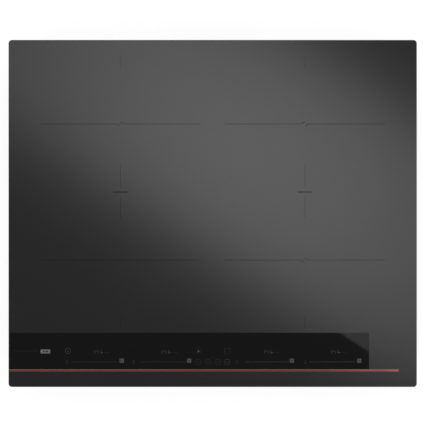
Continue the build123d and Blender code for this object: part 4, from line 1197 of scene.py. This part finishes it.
@dataclass
class Studio:
    """The floor, the lights, the sky and the camera."""

    lens: float = 100.0
    sensor: float = 36.0
    frame_width: float = 621.4 * MM
    aim_x: float = -1.72 * MM
    aim_y: float = 2.9 * MM
    box_height: float = 0.9
    box_width: float = 0.484
    box_length: float = 2.6
    box_shift: float = 0.171
    box_turn: float = -33.0
    box_radiance: float = 1.05
    box_spread: float = 0.483
    zenith: float = 0.14
    horizon: float = 0.85
    sky_low: float = 0.72
    sky_high: float = 0.93
    floor_size: float = 6.0
    floor_drop: float = 0.3 * MM
    floor_tone: float = 0.8
    seen_tone: float = 0.25
    seen_glow: float = 0.82

    LAMPS = (
        ("key_lamp", (-1.7, -1.9, 1.5), 1.2, 14.0),
        ("fill_lamp", (2.0, -1.2, 1.3), 1.4, 8.0),
        ("rear_lamp", (0.3, 2.2, 1.4), 1.4, 9.0),
    )

    def build(self) -> None:
        """Sets up everything that isn't the object."""
        scene = bpy.context.scene
        scene.view_settings.view_transform = "Standard"
        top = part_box("glass_plate")[1].z
        self.camera(scene, top)
        self.softbox(top)
        for name, spot, size, watts in self.LAMPS:
            self.lamp(name, spot, size, watts)
        self.sky(scene)
        self.floor()

    def camera(self, scene: bpy.types.Scene, top: float) -> None:
        """Hangs the camera straight above the glass.

        Args:
            scene: the scene that it goes in.
            top: height of the glass.
        """
        data = bpy.data.cameras.new("camera")
        data.lens = self.lens
        data.sensor_width = self.sensor
        distance = self.frame_width * self.lens / self.sensor
        camera = bpy.data.objects.new("camera", data)
        camera.location = (self.aim_x, self.aim_y, top + distance)
        scene.collection.objects.link(camera)
        scene.camera = camera

    def area(self, name: str, width: float, length: float, watts: float) -> bpy.types.Object:
        """Makes a rectangular lamp that the camera doesn't see.

        Args:
            name: the lamp's name.
            width: its size along its own X.
            length: its size along its own Y.
            watts: its power.

        Returns:
            The lamp.
        """
        data = bpy.data.lights.new(name, "AREA")
        data.shape = "RECTANGLE"
        data.size = width
        data.size_y = length
        data.energy = watts
        lamp = bpy.data.objects.new(name, data)
        lamp.visible_camera = False
        bpy.context.scene.collection.objects.link(lamp)
        return lamp

    def softbox(self, top: float) -> None:
        """Hangs the long softbox, brightest in its middle, that lies in a band across the glass.

        Args:
            top: height of the glass.
        """
        watts = self.box_radiance * math.pi * self.box_width * self.box_length
        lamp = self.area("softbox", self.box_length, self.box_width, watts)
        lamp.data.use_nodes = True
        graph = Graph(lamp.data.node_tree)
        spot = graph.add("SeparateXYZ", {"Vector": graph.add("NewGeometry").outputs["Parametric"]})
        along = graph.times(graph.math("SUBTRACT", spot.outputs["X"], 0.5), self.box_length)
        over = graph.times(graph.math("SUBTRACT", spot.outputs["Y"], 0.5), self.box_width)
        reach = graph.weigh(along, along, over, over)
        fall = graph.math("EXPONENT", graph.times(reach, -0.5 / self.box_spread ** 2))
        graph.feed(lamp.data.node_tree.nodes["Emission"].inputs["Strength"], fall)
        turn = math.radians(self.box_turn)
        across = Vector((-math.sin(turn), math.cos(turn)))
        x = self.aim_x + across.x * self.box_shift
        y = self.aim_y + across.y * self.box_shift
        lamp.location = (x, y, top + self.box_height)
        lamp.rotation_euler = (0.0, 0.0, turn)

    def lamp(self, name: str, spot: Sequence[float], size: float, watts: float) -> None:
        """Adds a soft lamp aimed at the middle of the object.

        Args:
            name: the lamp's name.
            spot: where it hangs.
            size: length of its sides.
            watts: its power.
        """
        lamp = self.area(name, size, size, watts)
        lamp.location = spot
        lamp.rotation_euler = (-Vector(spot)).to_track_quat("-Z", "Y").to_euler()

    def sky(self, scene: bpy.types.Scene) -> None:
        """Makes a sky that is dark overhead, bright low down, and white where it is seen directly.

        Args:
            scene: the scene that it lights.
        """
        world = bpy.data.worlds.new("studio")
        scene.world = world
        world.use_nodes = True
        graph = Graph(world.node_tree)
        back = world.node_tree.nodes["Background"]
        way = graph.add("TexCoord").outputs["Generated"]
        height = graph.add("SeparateXYZ", {"Vector": way}).outputs["Z"]
        level = graph.remap(height, self.sky_low, self.sky_high, self.horizon, self.zenith)
        seen = graph.add("LightPath").outputs["Is Camera Ray"]
        back.inputs["Color"].default_value = (*grey(1.0), 1.0)
        graph.feed(back.inputs["Strength"], graph.blend_value(seen, level, 1.0))

    def floor(self) -> None:
        """Lays a plain white floor that keeps a faint shadow and is clear from underneath."""
        bm = bmesh.new()
        low = Matrix.Translation((0, 0, -self.floor_drop))
        bmesh.ops.create_grid(bm, x_segments=1, y_segments=1, size=self.floor_size, matrix=low)
        mesh = bpy.data.meshes.new("floor")
        bm.to_mesh(mesh)
        bm.free()
        material = bpy.data.materials.new("Floor white")
        material.use_nodes = True
        tree = material.node_tree
        tree.nodes.remove(tree.nodes["Principled BSDF"])
        graph = Graph(tree)
        path = graph.add("LightPath")
        seen = graph.math("MAXIMUM", path.outputs["Is Camera Ray"], path.outputs["Is Glossy Ray"])
        seen = graph.math("MAXIMUM", seen, path.outputs["Is Transmission Ray"])
        plain = graph.add("BsdfDiffuse", {"Color": (*grey(self.floor_tone), 1.0)})
        shaded = graph.add("BsdfDiffuse", {"Color": (*grey(self.seen_tone), 1.0)})
        glow = graph.add("Emission", {"Color": (*grey(1.0), 1.0), "Strength": self.seen_glow})
        white = graph.add("AddShader", {0: shaded.outputs[0], 1: glow.outputs[0]})
        mix = graph.add("MixShader", {0: seen, 1: plain.outputs[0], 2: white.outputs[0]})
        behind = graph.add("NewGeometry").outputs["Backfacing"]
        clear = graph.add("BsdfTransparent")
        sided = graph.add("MixShader", {0: behind, 1: mix.outputs[0], 2: clear.outputs[0]})
        graph.feed(tree.nodes["Material Output"].inputs["Surface"], sided.outputs[0])
        mesh.materials.append(material)
        floor = bpy.data.objects.new("floor", mesh)
        bpy.context.scene.collection.objects.link(floor)


def main() -> None:
    """Builds the looks in order."""
    logging.basicConfig(level=logging.INFO, format="%(name)s: %(message)s")
    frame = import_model()
    wardrobe = Wardrobe(frame)
    GlassTop().build(wardrobe)
    ControlPanel().build(wardrobe)
    Casing().build(wardrobe)
    Interior().build(wardrobe)
    Studio().build()


if __name__ == "__main__":
    main()
